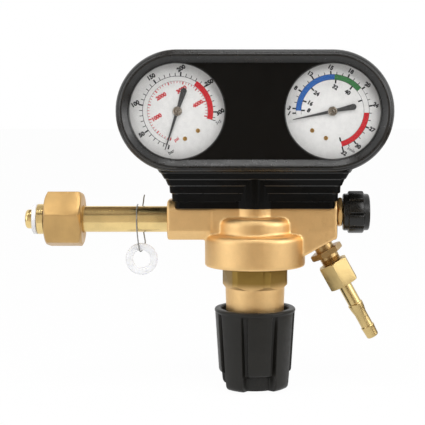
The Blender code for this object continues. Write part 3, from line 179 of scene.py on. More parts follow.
def settle(piece, smooth_angle=SMOOTH):
    """Applies a piece's modifiers to its mesh and cleans it."""
    bpy.context.view_layer.update()
    evaluated = piece.evaluated_get(bpy.context.evaluated_depsgraph_get())
    mesh = bpy.data.meshes.new_from_object(evaluated)
    data = bmesh.new()
    data.from_mesh(mesh)
    weld(data)
    crisp(data, smooth_angle)
    data.to_mesh(mesh)
    data.free()
    piece.modifiers.clear()
    old = piece.data
    piece.data = mesh
    bpy.data.meshes.remove(old)
    return piece


def combine(piece, tools, operation):
    """Joins, cuts or intersects a piece with other objects and removes those."""
    for tool in tools:
        modifier = piece.modifiers.new(operation.lower(), "BOOLEAN")
        modifier.object = tool
        modifier.operation = operation
        modifier.solver = "EXACT"
    settle(piece)
    for tool in tools:
        mesh = tool.data
        bpy.data.objects.remove(tool, do_unlink=True)
        bpy.data.meshes.remove(mesh)
    return piece


def soften(piece, width, angle):
    """Rounds a piece's crisp edges by a width in millimetres."""
    bevel = piece.modifiers.new("edges", "BEVEL")
    bevel.width = width * MM
    bevel.segments = 2
    bevel.limit_method = "ANGLE"
    bevel.angle_limit = math.radians(angle)
    bevel.harden_normals = False
    bevel.use_clamp_overlap = True
    return settle(piece, 40.0)


def around(radius, angle, height=0.0):
    """The point at a radius and an angle in radians about the local Z axis."""
    return (radius * math.cos(angle), radius * math.sin(angle), height)


def ease(share):
    """A share held from 0 to 1, with a smooth start and end."""
    share = min(max(share, 0.0), 1.0)
    return share * share * (3.0 - 2.0 * share)


def frame_along(origin, direction):
    """A frame whose Z axis points along the direction."""
    axis = Vector(direction).normalized()
    rotation = Vector((0.0, 0.0, 1.0)).rotation_difference(axis).to_matrix().to_4x4()
    return Matrix.Translation(origin) @ rotation


ALONG_X = frame_along((0.0, 0.0, 0.0), (1.0, 0.0, 0.0))
BODY_AXIS = Matrix.Translation((BODY_X, 0.0, 0.0))
VALVE_AXIS = frame_along((BODY_X + ARM_RIGHT, 0.0, VALVE_Z), (1.0, 0.0, 0.0))
OUTLET_AXIS = frame_along(OUTLET_POINT, (math.sin(OUTLET_TILT), 0.0, -math.cos(OUTLET_TILT)))


def gauge_frame(side):
    """The frame of one gauge: local -Y faces the viewer and local -Z runs down its stem."""
    place = Matrix.Translation((BODY_X + side * GAUGE_OFFSET, 0.0, GAUGE_Z))
    return place @ Matrix.Rotation(side * GAUGE_TILT, 4, "Y")


def dial_frame(side):
    """The frame of a dial: local X and Y as printed on it, local Z towards the viewer."""
    return gauge_frame(side) @ Matrix.Rotation(math.pi / 2, 4, "X")


def upright_frame(side):
    """The frame of a gauge's front with no tilt: local Y up, local Z towards the viewer."""
    place = Matrix.Translation((BODY_X + side * GAUGE_OFFSET, 0.0, GAUGE_Z))
    return place @ Matrix.Rotation(math.pi / 2, 4, "X")


def loft_into(data, rings):
    """Fills a bmesh with a skin through rings of equally many points, closed at both ends."""
    loops = [[data.verts.new(point) for point in ring] for ring in rings]
    for lower, upper in zip(loops, loops[1:]):
        for i in range(len(lower)):
            j = (i + 1) % len(lower)
            data.faces.new((lower[i], lower[j], upper[j], upper[i]))
    data.faces.new(list(reversed(loops[0])))
    data.faces.new(loops[-1])


def loft(name, rings, place=Matrix(), smooth_angle=SMOOTH):
    """A closed solid through a row of rings."""
    placed = [[place @ Vector(p) for p in ring] for ring in rings]
    return mesh_piece(name, lambda data: loft_into(data, placed), smooth_angle)


def turned(name, profile, steps=0, place=Matrix()):
    """A turned solid: the profile of (radius, height) points goes round the local Z axis."""
    steps = steps or bpy.context.scene.regulator_detail.round_steps
    on_axis = profile[0][0] == 0.0 and profile[-1][0] == 0.0

    def fill(data):
        rings = []
        for radius, height in profile:
            if radius == 0.0:
                rings.append([data.verts.new(place @ Vector((0.0, 0.0, height)))])
                continue
            rings.append([
                data.verts.new(place @ Vector(around(radius, 2 * math.pi * i / steps, height)))
                for i in range(steps)])
        pairs = list(zip(rings, rings[1:]))
        if not on_axis:
            pairs.append((rings[-1], rings[0]))
        for first, second in pairs:
            for i in range(steps):
                j = (i + 1) % steps
                if len(first) == 1 and len(second) == 1:
                    continue
                if len(first) == 1:
                    data.faces.new((first[0], second[j], second[i]))
                elif len(second) == 1:
                    data.faces.new((first[i], first[j], second[0]))
                else:
                    data.faces.new((first[i], first[j], second[j], second[i]))
    return mesh_piece(name, fill)


def solid_profile(*points):
    """A profile closed on the axis at both ends."""
    return [(0.0, points[0][1]), *points, (0.0, points[-1][1])]


def rod(name, radius, low, high, steps, place):
    """A plain bar used as a cutter or joined into a larger piece."""
    return turned(name, solid_profile((radius, high), (radius, low)), steps, place)


def arc(centre, radius, start, end, count):
    """Points of an arc in a profile, angles in degrees from +radius towards +height."""
    points = []
    for i in range(count + 1):
        angle = math.radians(start + (end - start) * i / count)
        points.append((centre[0] + radius * math.cos(angle), centre[1] + radius * math.sin(angle)))
    return points


def prism(name, outline, low, high, place):
    """A flat outline of (x, y) points raised from low to high."""
    return loft(name, [[(x, y, level) for x, y in outline] for level in (low, high)], place)


def hexagon_outline(across_flats, turn):
    """The corners of a hexagon."""
    corner = across_flats / math.sqrt(3)
    return [around(corner, turn + i * math.pi / 3)[:2] for i in range(6)]


def block(name, low, high, place=Matrix()):
    """A box between two corners, used as a cutter or joined into a larger piece."""
    outline = [(low[0], low[1]), (high[0], low[1]), (high[0], high[1]), (low[0], high[1])]
    return prism(name, outline, low[2], high[2], place)


def hexagon(name, across_flats, low, high, chamfer_radius, turn, place):
    """A hexagon bar whose corners are chamfered at both ends by a 30 degree cone."""
    bar = prism(name, hexagon_outline(across_flats, turn), low, high, place)
    spare = 0.5
    outer = across_flats / math.sqrt(3) + spare
    slope = (outer - chamfer_radius) * math.tan(math.radians(30.0))
    cone = turned("cone", solid_profile((chamfer_radius, high), (outer, high - slope),
                                        (outer, low + slope), (chamfer_radius, low)), 96, place)
    return combine(bar, [cone], "INTERSECT")


def tube(name, points, radius, sides):
    """A round wire through smooth points."""
    def fill(data):
        spots = [Vector(p) for p in points]
        rings = []
        side = None
        for i, spot in enumerate(spots):
            ahead = spots[min(i + 1, len(spots) - 1)] - spots[max(i - 1, 0)]
            ahead.normalize()
            if side is None:
                side = ahead.orthogonal().normalized()
            side = (side - ahead * side.dot(ahead)).normalized()
            other = ahead.cross(side)
            rings.append([spot + radius * (side * math.cos(2 * math.pi * k / sides)
                                           + other * math.sin(2 * math.pi * k / sides))
                          for k in range(sides)])
        loft_into(data, rings)
    return mesh_piece(name, fill, 50.0)


def smooth_path(points, per_span):
    """A Catmull-Rom curve through the points."""
    spots = [Vector(p) for p in points]
    spots = [2 * spots[0] - spots[1], *spots, 2 * spots[-1] - spots[-2]]
    path = []
    for a, b, c, d in zip(spots, spots[1:], spots[2:], spots[3:]):
        for i in range(per_span):
            t = i / per_span
            path.append(0.5 * ((2 * b) + (c - a) * t + (2 * a - 5 * b + 4 * c - d) * t * t
                               + (3 * b - a - 3 * c + d) * t ** 3))
    path.append(spots[-2])
    return path


def wear(piece, finish_name, body, nodes=()):
    """Gives a piece its finish, the body it rides on and the CAD nodes it stands for."""
    piece.data.materials.clear()
    piece.data.materials.append(finish(finish_name))
    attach(piece, body)
    if nodes:
        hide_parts(*nodes)
    return piece


# Materials

def principled(name, colour, roughness, metallic=0.0):
    """A new material and the parts of its node tree."""
    made = bpy.data.materials.new(name)
    made.use_nodes = True
    tree = made.node_tree
    shader = tree.nodes["Principled BSDF"]
    shader.inputs["Base Color"].default_value = (*colour, 1.0)
    shader.inputs["Roughness"].default_value = roughness
    shader.inputs["Metallic"].default_value = metallic
    place = tree.nodes.new("ShaderNodeTexCoord")
    return made, tree, shader, place.outputs["Object"]


def noise(tree, place, scale, detail=2.0, roughness=0.5, stretch=None):
    """Noise in object space; a stretch scales it along each axis."""
    made = tree.nodes.new("ShaderNodeTexNoise")
    made.inputs["Scale"].default_value = scale
    made.inputs["Detail"].default_value = detail
    made.inputs["Roughness"].default_value = roughness
    if stretch:
        mapping = tree.nodes.new("ShaderNodeMapping")
        mapping.inputs["Scale"].default_value = stretch
        tree.links.new(place, mapping.inputs["Vector"])
        place = mapping.outputs["Vector"]
    tree.links.new(place, made.inputs["Vector"])
    return made.outputs["Fac"]


def blend_colours(tree, shader, factor, low, high):
    """Base colour that runs between two colours by a factor."""
    ramp = tree.nodes.new("ShaderNodeValToRGB")
    ramp.color_ramp.elements[0].position = 0.35
    ramp.color_ramp.elements[0].color = (*low, 1.0)
    ramp.color_ramp.elements[1].position = 0.65
    ramp.color_ramp.elements[1].color = (*high, 1.0)
    tree.links.new(factor, ramp.inputs["Fac"])
    tree.links.new(ramp.outputs["Color"], shader.inputs["Base Color"])


def vary_roughness(tree, shader, factor, low, high):
    """Roughness that runs between two values by a factor."""
    spread = tree.nodes.new("ShaderNodeMapRange")
    spread.inputs["From Min"].default_value = 0.3
    spread.inputs["From Max"].default_value = 0.7
    spread.inputs["To Min"].default_value = low
    spread.inputs["To Max"].default_value = high
    tree.links.new(factor, spread.inputs["Value"])
    tree.links.new(spread.outputs["Result"], shader.inputs["Roughness"])


def bump(tree, shader, height, strength, distance, below=None):
    """A bump by height, laid over another bump where one is given."""
    made = tree.nodes.new("ShaderNodeBump")
    made.inputs["Strength"].default_value = strength
    made.inputs["Distance"].default_value = distance
    tree.links.new(height, made.inputs["Height"])
    if below is not None:
        tree.links.new(below, made.inputs["Normal"])
    tree.links.new(made.outputs["Normal"], shader.inputs["Normal"])
    return made.outputs["Normal"]


def tint(colour, factor):
    """A colour made darker or lighter."""
    return tuple(min(value * factor, 1.0) for value in colour)


def blasted_brass(name, colour, low_tint=0.96, high_tint=1.03, grain=0.35):
    """Sand-blasted brass: a fine matt grain with slightly darker, duller patches."""
    made, tree, shader, place = principled(name, colour, 0.42, 1.0)
    patches = noise(tree, place, 110.0, 6.0, 0.75)
    blend_colours(tree, shader, patches, tint(colour, low_tint), tint(colour, high_tint))
    vary_roughness(tree, shader, noise(tree, place, 600.0, 3.0), 0.4, 0.48)
    coarse = bump(tree, shader, noise(tree, place, 900.0, 3.0, 0.7), 0.14, 0.0002)
    bump(tree, shader, noise(tree, place, 3200.0, 3.0, 0.7), grain, 0.00012, coarse)
    return made


def stained_brass(name, colour):
    """Blasted brass with painted shade: an olive darkening, strongest high up under the body's edge,
    where its shadow falls.
    """
    made = blasted_brass(name, colour, 0.95, 1.03, 0.25)
    tree = made.node_tree
    shader = tree.nodes["Principled BSDF"]
    brass = shader.inputs["Base Color"].links[0].from_socket
    place = tree.nodes["Texture Coordinate"].outputs["Object"]
    split = tree.nodes.new("ShaderNodeSeparateXYZ")
    tree.links.new(place, split.inputs["Vector"])
    # Painted shade: an olive colour that grows from the hexagon's bottom up to under the body's edge
    height = tree.nodes.new("ShaderNodeMapRange")
    height.interpolation_type = "SMOOTHSTEP"
    height.inputs["From Min"].default_value = -43.6 * MM
    height.inputs["From Max"].default_value = -38.0 * MM
    tree.links.new(split.outputs["Z"], height.inputs["Value"])
    painted_shade = tree.nodes.new("ShaderNodeMix")
    painted_shade.data_type = "RGBA"
    for socket in painted_shade.inputs:
        if socket.name == "A" and socket.type == "RGBA":
            tree.links.new(brass, socket)
        if socket.name == "B" and socket.type == "RGBA":
            socket.default_value = (*shade(146, 119, 62), 1.0)
    tree.links.new(height.outputs["Result"], painted_shade.inputs["Factor"])
    for socket in painted_shade.outputs:
        if socket.type == "RGBA":
            tree.links.new(socket, shader.inputs["Base Color"])
    return made


def machined_brass(name, colour, axis, roughness=0.2, marks=0.12):
    """Turned or milled brass: fine tool marks that run round or along one axis."""
    made, tree, shader, place = principled(name, colour, roughness, 1.0)
    stretch = {"X": (60.0, 1.0, 1.0), "Y": (1.0, 60.0, 1.0), "Z": (1.0, 1.0, 60.0)}[axis]
    lines = noise(tree, place, 90.0, 3.0, 0.6, stretch)
    haze = noise(tree, place, 60.0, 3.0)
    blend_colours(tree, shader, haze, tint(colour, 0.88), tint(colour, 1.06))
    vary_roughness(tree, shader, lines, roughness * 0.8, roughness * 1.35)
    bump(tree, shader, lines, marks, 0.00008)
    return made


def moulded(name, colour, roughness, grain_scale=1500.0, grain=0.2, mottle=0.2, coat=0.0,
             specular=0.35):
    """Moulded rubber or plastic: a fine moulded grain, with faint paler bloom."""
    made, tree, shader, place = principled(name, colour, roughness)
    cloud = noise(tree, place, 70.0, 4.0, 0.6)
    blend_colours(tree, shader, cloud, tint(colour, 1.0 - mottle), tint(colour, 1.0 + mottle))
    vary_roughness(tree, shader, noise(tree, place, 300.0, 3.0), roughness * 0.85,
                   roughness * 1.15)
    bump(tree, shader, noise(tree, place, grain_scale, 2.0), grain, 0.0001)
    shader.inputs["Specular IOR Level"].default_value = specular
    shader.inputs["Coat Weight"].default_value = coat
    shader.inputs["Coat Roughness"].default_value = 0.25
    return made


def printed(name, colour, roughness=0.5):
    """Printed ink or enamel: very faint unevenness."""
    made, tree, shader, place = principled(name, colour, roughness)
    blend_colours(tree, shader, noise(tree, place, 400.0, 2.0), tint(colour, 0.96),
                  tint(colour, 1.03))
    vary_roughness(tree, shader, noise(tree, place, 150.0, 2.0), roughness * 0.9, roughness * 1.1)
    bump(tree, shader, noise(tree, place, 4000.0, 1.0), 0.05, 0.00002)
    shader.inputs["Specular IOR Level"].default_value = 0.2
    return made


def seal_nylon(name, colour):
    """Milky nylon that lets a little light through."""
    made, tree, shader, place = principled(name, colour, 0.38)
    blend_colours(tree, shader, noise(tree, place, 90.0, 1.0), tint(colour, 0.99),
                  tint(colour, 1.01))
    shader.inputs["Subsurface Weight"].default_value = 0.4
    shader.inputs["Subsurface Radius"].default_value = (0.002, 0.002, 0.0018)
    shader.inputs["Subsurface Scale"].default_value = 1.0
    bump(tree, shader, noise(tree, place, 260.0, 1.0), 0.01, 0.0001)
    return made


def steel_finish(name, colour, roughness=0.3):
    """Drawn or rolled steel with faint streaks."""
    made, tree, shader, place = principled(name, colour, roughness, 1.0)
    streaks = noise(tree, place, 500.0, 3.0)
    blend_colours(tree, shader, streaks, tint(colour, 0.85), tint(colour, 1.08))
    vary_roughness(tree, shader, streaks, roughness * 0.8, roughness * 1.25)
    bump(tree, shader, noise(tree, place, 2500.0, 2.0), 0.1, 0.00005)
    return made


def lens_clear(name, colour):
    """Thin clear plastic: it lets the dial show as it is and keeps a faint gloss."""
    made, tree, shader, place = principled(name, colour, 0.06)
    shader.inputs["Alpha"].default_value = 0.03
    vary_roughness(tree, shader, noise(tree, place, 90.0, 2.0), 0.05, 0.08)
    bump(tree, shader, noise(tree, place, 120.0, 2.0), 0.02, 0.0001)
    return made


# Each finish: its maker, its colour or the setting that holds it, how far that is darkened,
# and the maker's own values
FINISHES = {
    "body_brass": (blasted_brass, "forged", 1.0),
    "bonnet_brass": (stained_brass, "forged", 0.97),
    "stem_brass": (machined_brass, "machined", 1.0, "X", 0.16),
    "nut_brass": (machined_brass, "nut", 1.0, "X", 0.36, 0.1),
    "fitting_brass": (machined_brass, "machined", 0.78, "Z", 0.27, 0.02),
    "satin_brass": (machined_brass, "machined", 0.75, "Z", 0.4, 0.12),
    "flange_brass": (machined_brass, shade(182, 152, 104), 1.0, "Z", 0.32, 0.12),
    "inner_brass": (machined_brass, "machined", 1.0, "Y", 0.3),
    "screw_brass": (machined_brass, shade(200, 160, 90), 1.0, "Z", 0.3),
    "filter_bronze": (blasted_brass, shade(150, 108, 66), 1.0, 0.7, 1.1, 0.6),
    "boot_rubber": (moulded, "rubber", 1.0, 0.3, 1800.0, 0.06, 0.1, 0.0, 0.62),
    "panel_rubber": (moulded, "rubber", 0.45, 0.34, 2400.0, 0.1, 0.1, 0.0, 0.18),
    "back_rubber": (moulded, "rubber", 1.0, 0.55, 1800.0, 0.1, 0.1, 0.0, 0.25),
    # A darker copy of the boot's rubber: painted shade on the skirt
    "skirt_rubber": (moulded, "rubber", 0.35, 0.34, 2000.0, 0.06, 0.1, 0.0, 0.1),
    "diaphragm_rubber": (moulded, "rubber", 1.0, 0.6),
    "knob_plastic": (moulded, "plastic", 1.0, 0.4, 1400.0, 0.12, 0.1, 0.0, 0.28),
    "valve_plastic": (moulded, "plastic", 0.6, 0.28, 2200.0, 0.06, 0.1, 0.1),
    "seal_nylon": (seal_nylon, "nylon", 1.0),
    "lens_plastic": (lens_clear, (0.3, 0.3, 0.3), 1.0),
    "dial_paint": (printed, "dial", 1.0, 0.45),
    "ink_black": (printed, "ink", 1.0),
    "ink_red": (printed, "red", 1.0),
    "ink_blue": (printed, "blue", 1.0),
    "ink_green": (printed, "green", 1.0),
    "pointer_paint": (printed, "pointer", 1.0, 0.4),
    "hub_nickel": (steel_finish, shade(160, 152, 140), 1.0, 0.28),
    "case_steel": (steel_finish, "steel", 0.35, 0.4),
    "bright_steel": (steel_finish, "steel", 0.6, 0.25),
}


def finish(name):
    """The named finish, made when it is first asked for."""
    kept = bpy.data.materials.get("look_" + name)
    if kept:
        return kept
    maker, colour, factor, *values = FINISHES[name]
    if isinstance(colour, str):
        colour = getattr(bpy.context.scene.regulator_finish, colour)
    made = maker(name, tint(colour, factor), *values)
    made.name = "look_" + name
    return made


# Stage

FILM_WIDTH = 36.0
AIM_Z = 4.08
LAMP_AIM_Z = 10.0
# Each lamp's place and its width, in metres
LAMPS = {
    "key": ((0.02, -0.42, 1.02), 0.6),
    "face": ((0.55, -0.82, 0.60), 0.5),
    "fill": ((-0.95, -0.65, 0.20), 0.7),
    "side": ((1.15, -0.35, 0.35), 0.6),
}
PAPER = (0.9, 0.9, 0.9)
FLOOR_WHITE = 0.975
WORLD_STRENGTH = 0.28

# Cards in millimetres: arches of (y, z), how far right each runs, and its material slots
CARD_LEFT = -120.0
CARD_FOOT = -107.0
CARD_BACK = 900.0
CARD_SIDE_TOP = -10.0
# Each card's name, colour and glow: the cards are painted reflections, and the pale one's glow a
# painted light
CARDS = (("flag_brown", (0.24, 0.175, 0.12), None), ("flag_tan", (0.55, 0.42, 0.29), None),
         ("flag_pale", PAPER, (0.2, 0.16, 0.13)))
CARD_ARCHES = (
    (((-240.0, CARD_FOOT), (-265.0, 130.0), (-270.0, 210.0), (-250.0, 400.0), (-140.0, 580.0)),
     320.0, 1, 0),
    (((-140.0, 580.0), (80.0, 680.0), (300.0, 660.0), (650.0, 520.0)), 50.0, 0, 0),
    (((-230.0, CARD_FOOT), (-250.0, 60.0), (-260.0, 200.0)), 60.0, 2, 2),
)
CARD_SIDES = ((-420.0, 0.0), (460.0, -300.0))


class REGULATOR_OT_stage(bpy.types.Operator):
    """Adds the camera, the lamps, the pale floor and the white surroundings"""
    bl_idname = "regulator.stage"
    bl_label = "Stage"

    def execute(self, context):
        settings = context.scene.regulator_stage
        context.scene.view_settings.view_transform = "Standard"
        lens = bpy.data.cameras.new("camera")
        lens.lens = settings.focal_length
        lens.sensor_width = FILM_WIDTH
        lens.sensor_fit = "HORIZONTAL"
        lens.shift_x = settings.frame_shift
        lens.clip_start = 0.01
        camera = link(bpy.data.objects.new("camera", lens))
        aim = Vector((BODY_X, 0.0, AIM_Z)) * MM
        away = Vector((0.0, -math.cos(settings.pitch), math.sin(settings.pitch)))
        camera.location = aim + settings.distance * away
        camera.rotation_euler = (math.pi / 2 - settings.pitch, 0.0, 0.0)
        context.scene.camera = camera
        for name, (spot, size) in LAMPS.items():
            self.add_lamp(name, getattr(settings, name + "_power"), Vector(spot), size)
        self.add_floor(settings)
        self.add_flags()
        self.add_world(context)
        return {"FINISHED"}

    def add_lamp(self, name, power, spot, size):
        """A soft square lamp that points at the regulator."""
        light = bpy.data.lights.new(name, "AREA")
        light.energy = power
        light.size = size
        lamp = link(bpy.data.objects.new(name, light))
        lamp.location = spot
        aim = Vector((BODY_X, 0.0, LAMP_AIM_Z)) * MM - spot
        lamp.rotation_euler = aim.to_track_quat("-Z", "Y").to_euler()

    def add_floor(self, settings):
        """A wide pale floor that shows white to the camera and keeps the soft shadow."""
        level = KNOB_BOTTOM_Z - settings.floor_drop / MM
        reach = 6000.0

        def fill(data):
            corners = [(-reach, -reach), (reach, -reach), (reach, reach), (-reach, reach)]
            data.faces.new([data.verts.new((x, y, level)) for x, y in corners])
        floor = mesh_piece("floor", fill)
        made, tree, shader, place = principled("floor_paper", PAPER, 0.9)
        bump(tree, shader, noise(tree, place, 800.0, 2.0), 0.02, 0.0002)
        white_to_camera(tree, shader.outputs["BSDF"], tree.nodes["Material Output"], FLOOR_WHITE)
        floor.data.materials.append(made)

    def add_flags(self):
        """Cards that only gloss sees, so they show only as painted reflections: tan and brown ones
        over the front and the stem, a faintly glowing pale one low before the stem, and brown ones
        behind the sides.
        """
        def fill(data):
            for arch, right, low_slot, high_slot in CARD_ARCHES:
                rows = [[data.verts.new((x, y, z)) for x in (CARD_LEFT, right)] for y, z in arch]
                for a, b in zip(rows, rows[1:]):
                    slot = low_slot if a[0].co.z < 0.0 else high_slot
                    data.faces.new((a[0], a[1], b[1], b[0])).material_index = slot
            for x, front in CARD_SIDES:
                data.faces.new([data.verts.new((x, y, z)) for y, z in (
                    (front, CARD_FOOT), (CARD_BACK, CARD_FOOT), (CARD_BACK, CARD_SIDE_TOP),
                    (front, CARD_SIDE_TOP))])
        flags = mesh_piece("flags", fill)
        for name, colour, glow in CARDS:
            made, tree, shader, place = principled(name, colour, 0.9)
            bump(tree, shader, noise(tree, place, 900.0, 2.0), 0.1, 0.0002)
            # The pale card's faint glow is a painted reflection that only gloss sees
            if glow:
                shader.inputs["Emission Color"].default_value = (*glow, 1.0)
                shader.inputs["Emission Strength"].default_value = 1.0
            flags.data.materials.append(made)
        flags.visible_camera = False
        flags.visible_diffuse = False
        flags.visible_transmission = False
        flags.visible_shadow = False

    def add_world(self, context):
        """A soft grey light all round that shows as white."""
        world = bpy.data.worlds.new("studio")
        context.scene.world = world
        world.use_nodes = True
        tree = world.node_tree
        soft = tree.nodes["Background"]
        soft.inputs["Color"].default_value = (1.0, 1.0, 1.0, 1.0)
        soft.inputs["Strength"].default_value = WORLD_STRENGTH
        white_to_camera(tree, soft.outputs["Background"], tree.nodes["World Output"], 1.0)


def white_to_camera(tree, light, output, share):
    """Mixes plain white in for rays that come straight, by gloss or through glass."""
    rays = tree.nodes.new("ShaderNodeLightPath")
    either = rays.outputs["Is Camera Ray"]
    for ray in ("Is Glossy Ray", "Is Transmission Ray"):
        larger = tree.nodes.new("ShaderNodeMath")
        larger.operation = "MAXIMUM"
        tree.links.new(either, larger.inputs[0])
        tree.links.new(rays.outputs[ray], larger.inputs[1])
        either = larger.outputs["Value"]
    scaled = tree.nodes.new("ShaderNodeMath")
    scaled.operation = "MULTIPLY"
    scaled.inputs[1].default_value = share
    tree.links.new(either, scaled.inputs[0])
    white = tree.nodes.new("ShaderNodeBackground" if output.bl_idname == "ShaderNodeOutputWorld"
                           else "ShaderNodeEmission")
    white.inputs["Color"].default_value = (1.0, 1.0, 1.0, 1.0)
    white.inputs["Strength"].default_value = 1.0
    mix = tree.nodes.new("ShaderNodeMixShader")
    tree.links.new(scaled.outputs["Value"], mix.inputs["Fac"])
    tree.links.new(light, mix.inputs[1])
    tree.links.new(white.outputs[0], mix.inputs[2])
    tree.links.new(mix.outputs["Shader"], output.inputs["Surface"])


# Body and spring housing

def bar_rings(start, end, grow=0.0, crown=0.6):
    """Rings of the forged bar along X, pulled in a little at its ends."""
    rings = []
    for x, inset in ((start, crown), (start + crown, 0.0), (end - crown, 0.0), (end, crown)):
        half_height = 12.4 + grow - inset
        half_depth = 11.0 + grow - inset
        flat = 7.6
        top = 7.0
        quarter = [(half_depth, flat), (half_depth - 0.4, flat + 1.0),
                   (top + 0.8, half_height - 0.4), (top, half_height)]
        section = [*quarter, *[(-y, z) for y, z in reversed(quarter)],
                   *[(-y, -z) for y, z in quarter], *[(y, -z) for y, z in reversed(quarter)]]
        rings.append([(x, y, z) for y, z in section])
    return rings


def stem_frame(side):
    """The frame of a gauge's stem: local Z runs from the dial's centre down the stem."""
    return gauge_frame(side) @ Matrix.Rotation(math.pi, 4, "X")


class REGULATOR_OT_body(bpy.types.Operator):
    """Builds the forged body with its pads, dome, shoulder, web and bores"""
    bl_idname = "regulator.body"
    bl_label = "Forged body"

    def execute(self, context):
        detail = context.scene.regulator_detail
        left = BODY_X - ARM_LEFT
        right = BODY_X + ARM_RIGHT
        body = loft("fine_body", bar_rings(left, right))
        pad = loft("pad", [[(x, y, z) for y, z in ((-11.6, -6.9), (-11.6, 6.9),
                                                   (0.0, 7.1), (0.0, -7.1))]
                           for x in (left + 0.3, left + 27.5)])
        corner_z = -11.0
        web_reach = 31.0
        web_end = corner_z - (ARM_RIGHT - web_reach) * math.tan(OUTLET_TILT)
        outline = [(BODY_X, 0.0), (right - 0.2, 0.0), (right - 0.2, corner_z),
                   (BODY_X + web_reach, web_end), (BODY_X + web_reach - 6.0, web_end - 2.6),
                   (BODY_X, web_end)]
        web = loft("web", [[(x, y, z) for x, z in outline] for y in (-10.9, 10.9)])
        housing = turned("housing", solid_profile(
            *arc((19.6, -2.6), 4.2, 90, 0, 8),
            (23.8, -7.7), (24.4, -8.6),
            (26.8, -9.0), *arc((28.1, -12.1), 2.9, 80, 0, 7),
            (31.0, -28.2), *arc((30.2, -28.4), 0.8, 0, -90, 4),
        ), place=BODY_AXIS @ Matrix.Diagonal((1.015, 1.0, 1.0, 1.0)))
        neck = rod("neck", 14.5, 0.0, 11.8, 64, BODY_AXIS)
        bosses = [rod("boss", 9.0, self.reach() - 5.0, self.reach() + 9.0, 40,
                      stem_frame(side)) for side in (-1, 1)]
        combine(body, [pad, web, housing, neck, *bosses], "UNION")
        self.blend_forging(body, detail.forging_voxel)
        combine(body, self.bores(left), "DIFFERENCE")
        wear(body, "body_brass", "frame", ("regulator_body",))
        return {"FINISHED"}

    def reach(self):
        """Distance along a gauge's stem from the dial's centre to the top of the bar."""
        return (GAUGE_Z - 12.4) / math.cos(GAUGE_TILT)

    def blend_forging(self, body, voxel):
        """Rounds every inner and outer corner of the forging, as a die leaves them."""
        remesh = body.modifiers.new("even", "REMESH")
        remesh.mode = "VOXEL"
        remesh.voxel_size = voxel
        remesh.adaptivity = 0.0
        relax = body.modifiers.new("relax", "CORRECTIVE_SMOOTH")
        relax.factor = 0.6
        relax.iterations = 5
        relax.smooth_type = "SIMPLE"
        relax.use_only_smooth = True
        settle(body, 60.0)

    def bores(self, left):
        """The chambers and threads that the inner pieces sit in."""
        reach = self.reach()
        tools = [rod("port", 6.6, reach - 6.0, reach + 4.0, 32, stem_frame(side))
                 for side in (-1, 1)]
        tools.append(turned("chamber", solid_profile(
            (8.0, 7.0), (8.0, -15.2), (20.5, -15.2),
            (20.5, -18.6), (27.0, -18.6), (27.0, -30.0)), 64, BODY_AXIS))
        tools.append(turned("inlet_bore", solid_profile(
            (2.5, BODY_X), (2.5, left + 14.0), (8.5, left + 14.0),
            (8.5, left - 1.0)), 64, ALONG_X))
        tools.append(turned("valve_bore", solid_profile(
            (6.9, 1.0), (6.9, -9.0), (5.0, -9.0),
            (5.0, -20.2), (2.5, -20.2), (2.5, -28.2)), 40, VALVE_AXIS))
        tools.append(rod("feed", 2.5, -17.2, VALVE_Z, 24,
                         Matrix.Translation((BODY_X + 17.0, 0.0, 0.0))))
        tools.append(rod("feed_run", 2.5, BODY_X + 17.0, BODY_X + 27.0, 24,
                         Matrix.Translation((0.0, 0.0, VALVE_Z)) @ ALONG_X))
        tools.append(turned("outlet_bore", solid_profile(
            (5.5, 1.0), (5.5, -6.5), (4.0, -6.5),
            (4.0, -19.5)), 32, OUTLET_AXIS))
        return tools


class REGULATOR_OT_bonnet(bpy.types.Operator):
    """Builds the spring housing: its flange, hexagon and the neck inside the knob"""
    bl_idname = "regulator.bonnet"
    bl_label = "Spring housing"

    def execute(self, context):
        top = HOUSING_BOTTOM_Z - SEAT_GAP
        hex_bottom = -43.4
        outline = hexagon_outline(37.2, math.radians(-67.7))
        bonnet = prism("fine_bonnet", outline, hex_bottom, -30.4, BODY_AXIS)
        envelope = turned("envelope", solid_profile(
            (20.4, -29.0), (20.4, -40.8), (18.1, hex_bottom)), place=BODY_AXIS)
        combine(bonnet, [envelope], "INTERSECT")
        land = turned("land", solid_profile(
            (20.0, top), (20.4, top - 0.4), (20.4, -30.0),
            (20.1, -30.5)), place=BODY_AXIS)
        flange = rod("flange", 26.7, top, -21.7, 96, BODY_AXIS)
        neck = turned("neck", solid_profile(
            (18.6, top), (18.6, -44.0), (18.2, KNOB_TOP_Z),
            (17.7, -80.5), (16.2, -82.0)), place=BODY_AXIS)
        combine(bonnet, [land, flange, neck], "UNION")
        bore = turned("bore", solid_profile(
            (14.6, -20.7), (14.6, -75.0), (5.3, -75.0),
            (5.3, -83.0)), 64, BODY_AXIS)
        combine(bonnet, [bore], "DIFFERENCE")
        soften(bonnet, 0.15, 24.0)
        wear(bonnet, "bonnet_brass", "frame", ("bonnet",))
        return {"FINISHED"}


# Knobs

# Share of a valve knob's lobe that is full, before its groove starts
LOBE_SHARE = 0.72


def lobed_ring(height, radius, groove, short_radius, rise=0.0, spread=0.41, flare=0.12):
    """One ring of the adjusting knob: long and short lobes with rounded grooves between."""
    points = []
    lobes = 8
    per_lobe = 48
    lead = 0.05
    flattening = 0.006
    for i in range(lobes * per_lobe):
        turn = i / per_lobe
        lobe = int(turn + 0.5) % lobes
        away = abs(turn - round(turn)) / 0.5
        reach = radius if lobe % 2 else short_radius
        floor = min(radius - groove, reach)
        edge = 2.0 * spread
        dip = ease((away - edge + lead) / flare)
        crown = reach * (1.0 - flattening * max(1.0 - (away / edge) ** 2, 0.0))
        here = crown * (1.0 - dip) + floor * dip
        lift = 0.0 if lobe % 2 else rise * (1.0 - dip)
        points.append(around(here, turn * 2 * math.pi / lobes, height + lift))
    return points


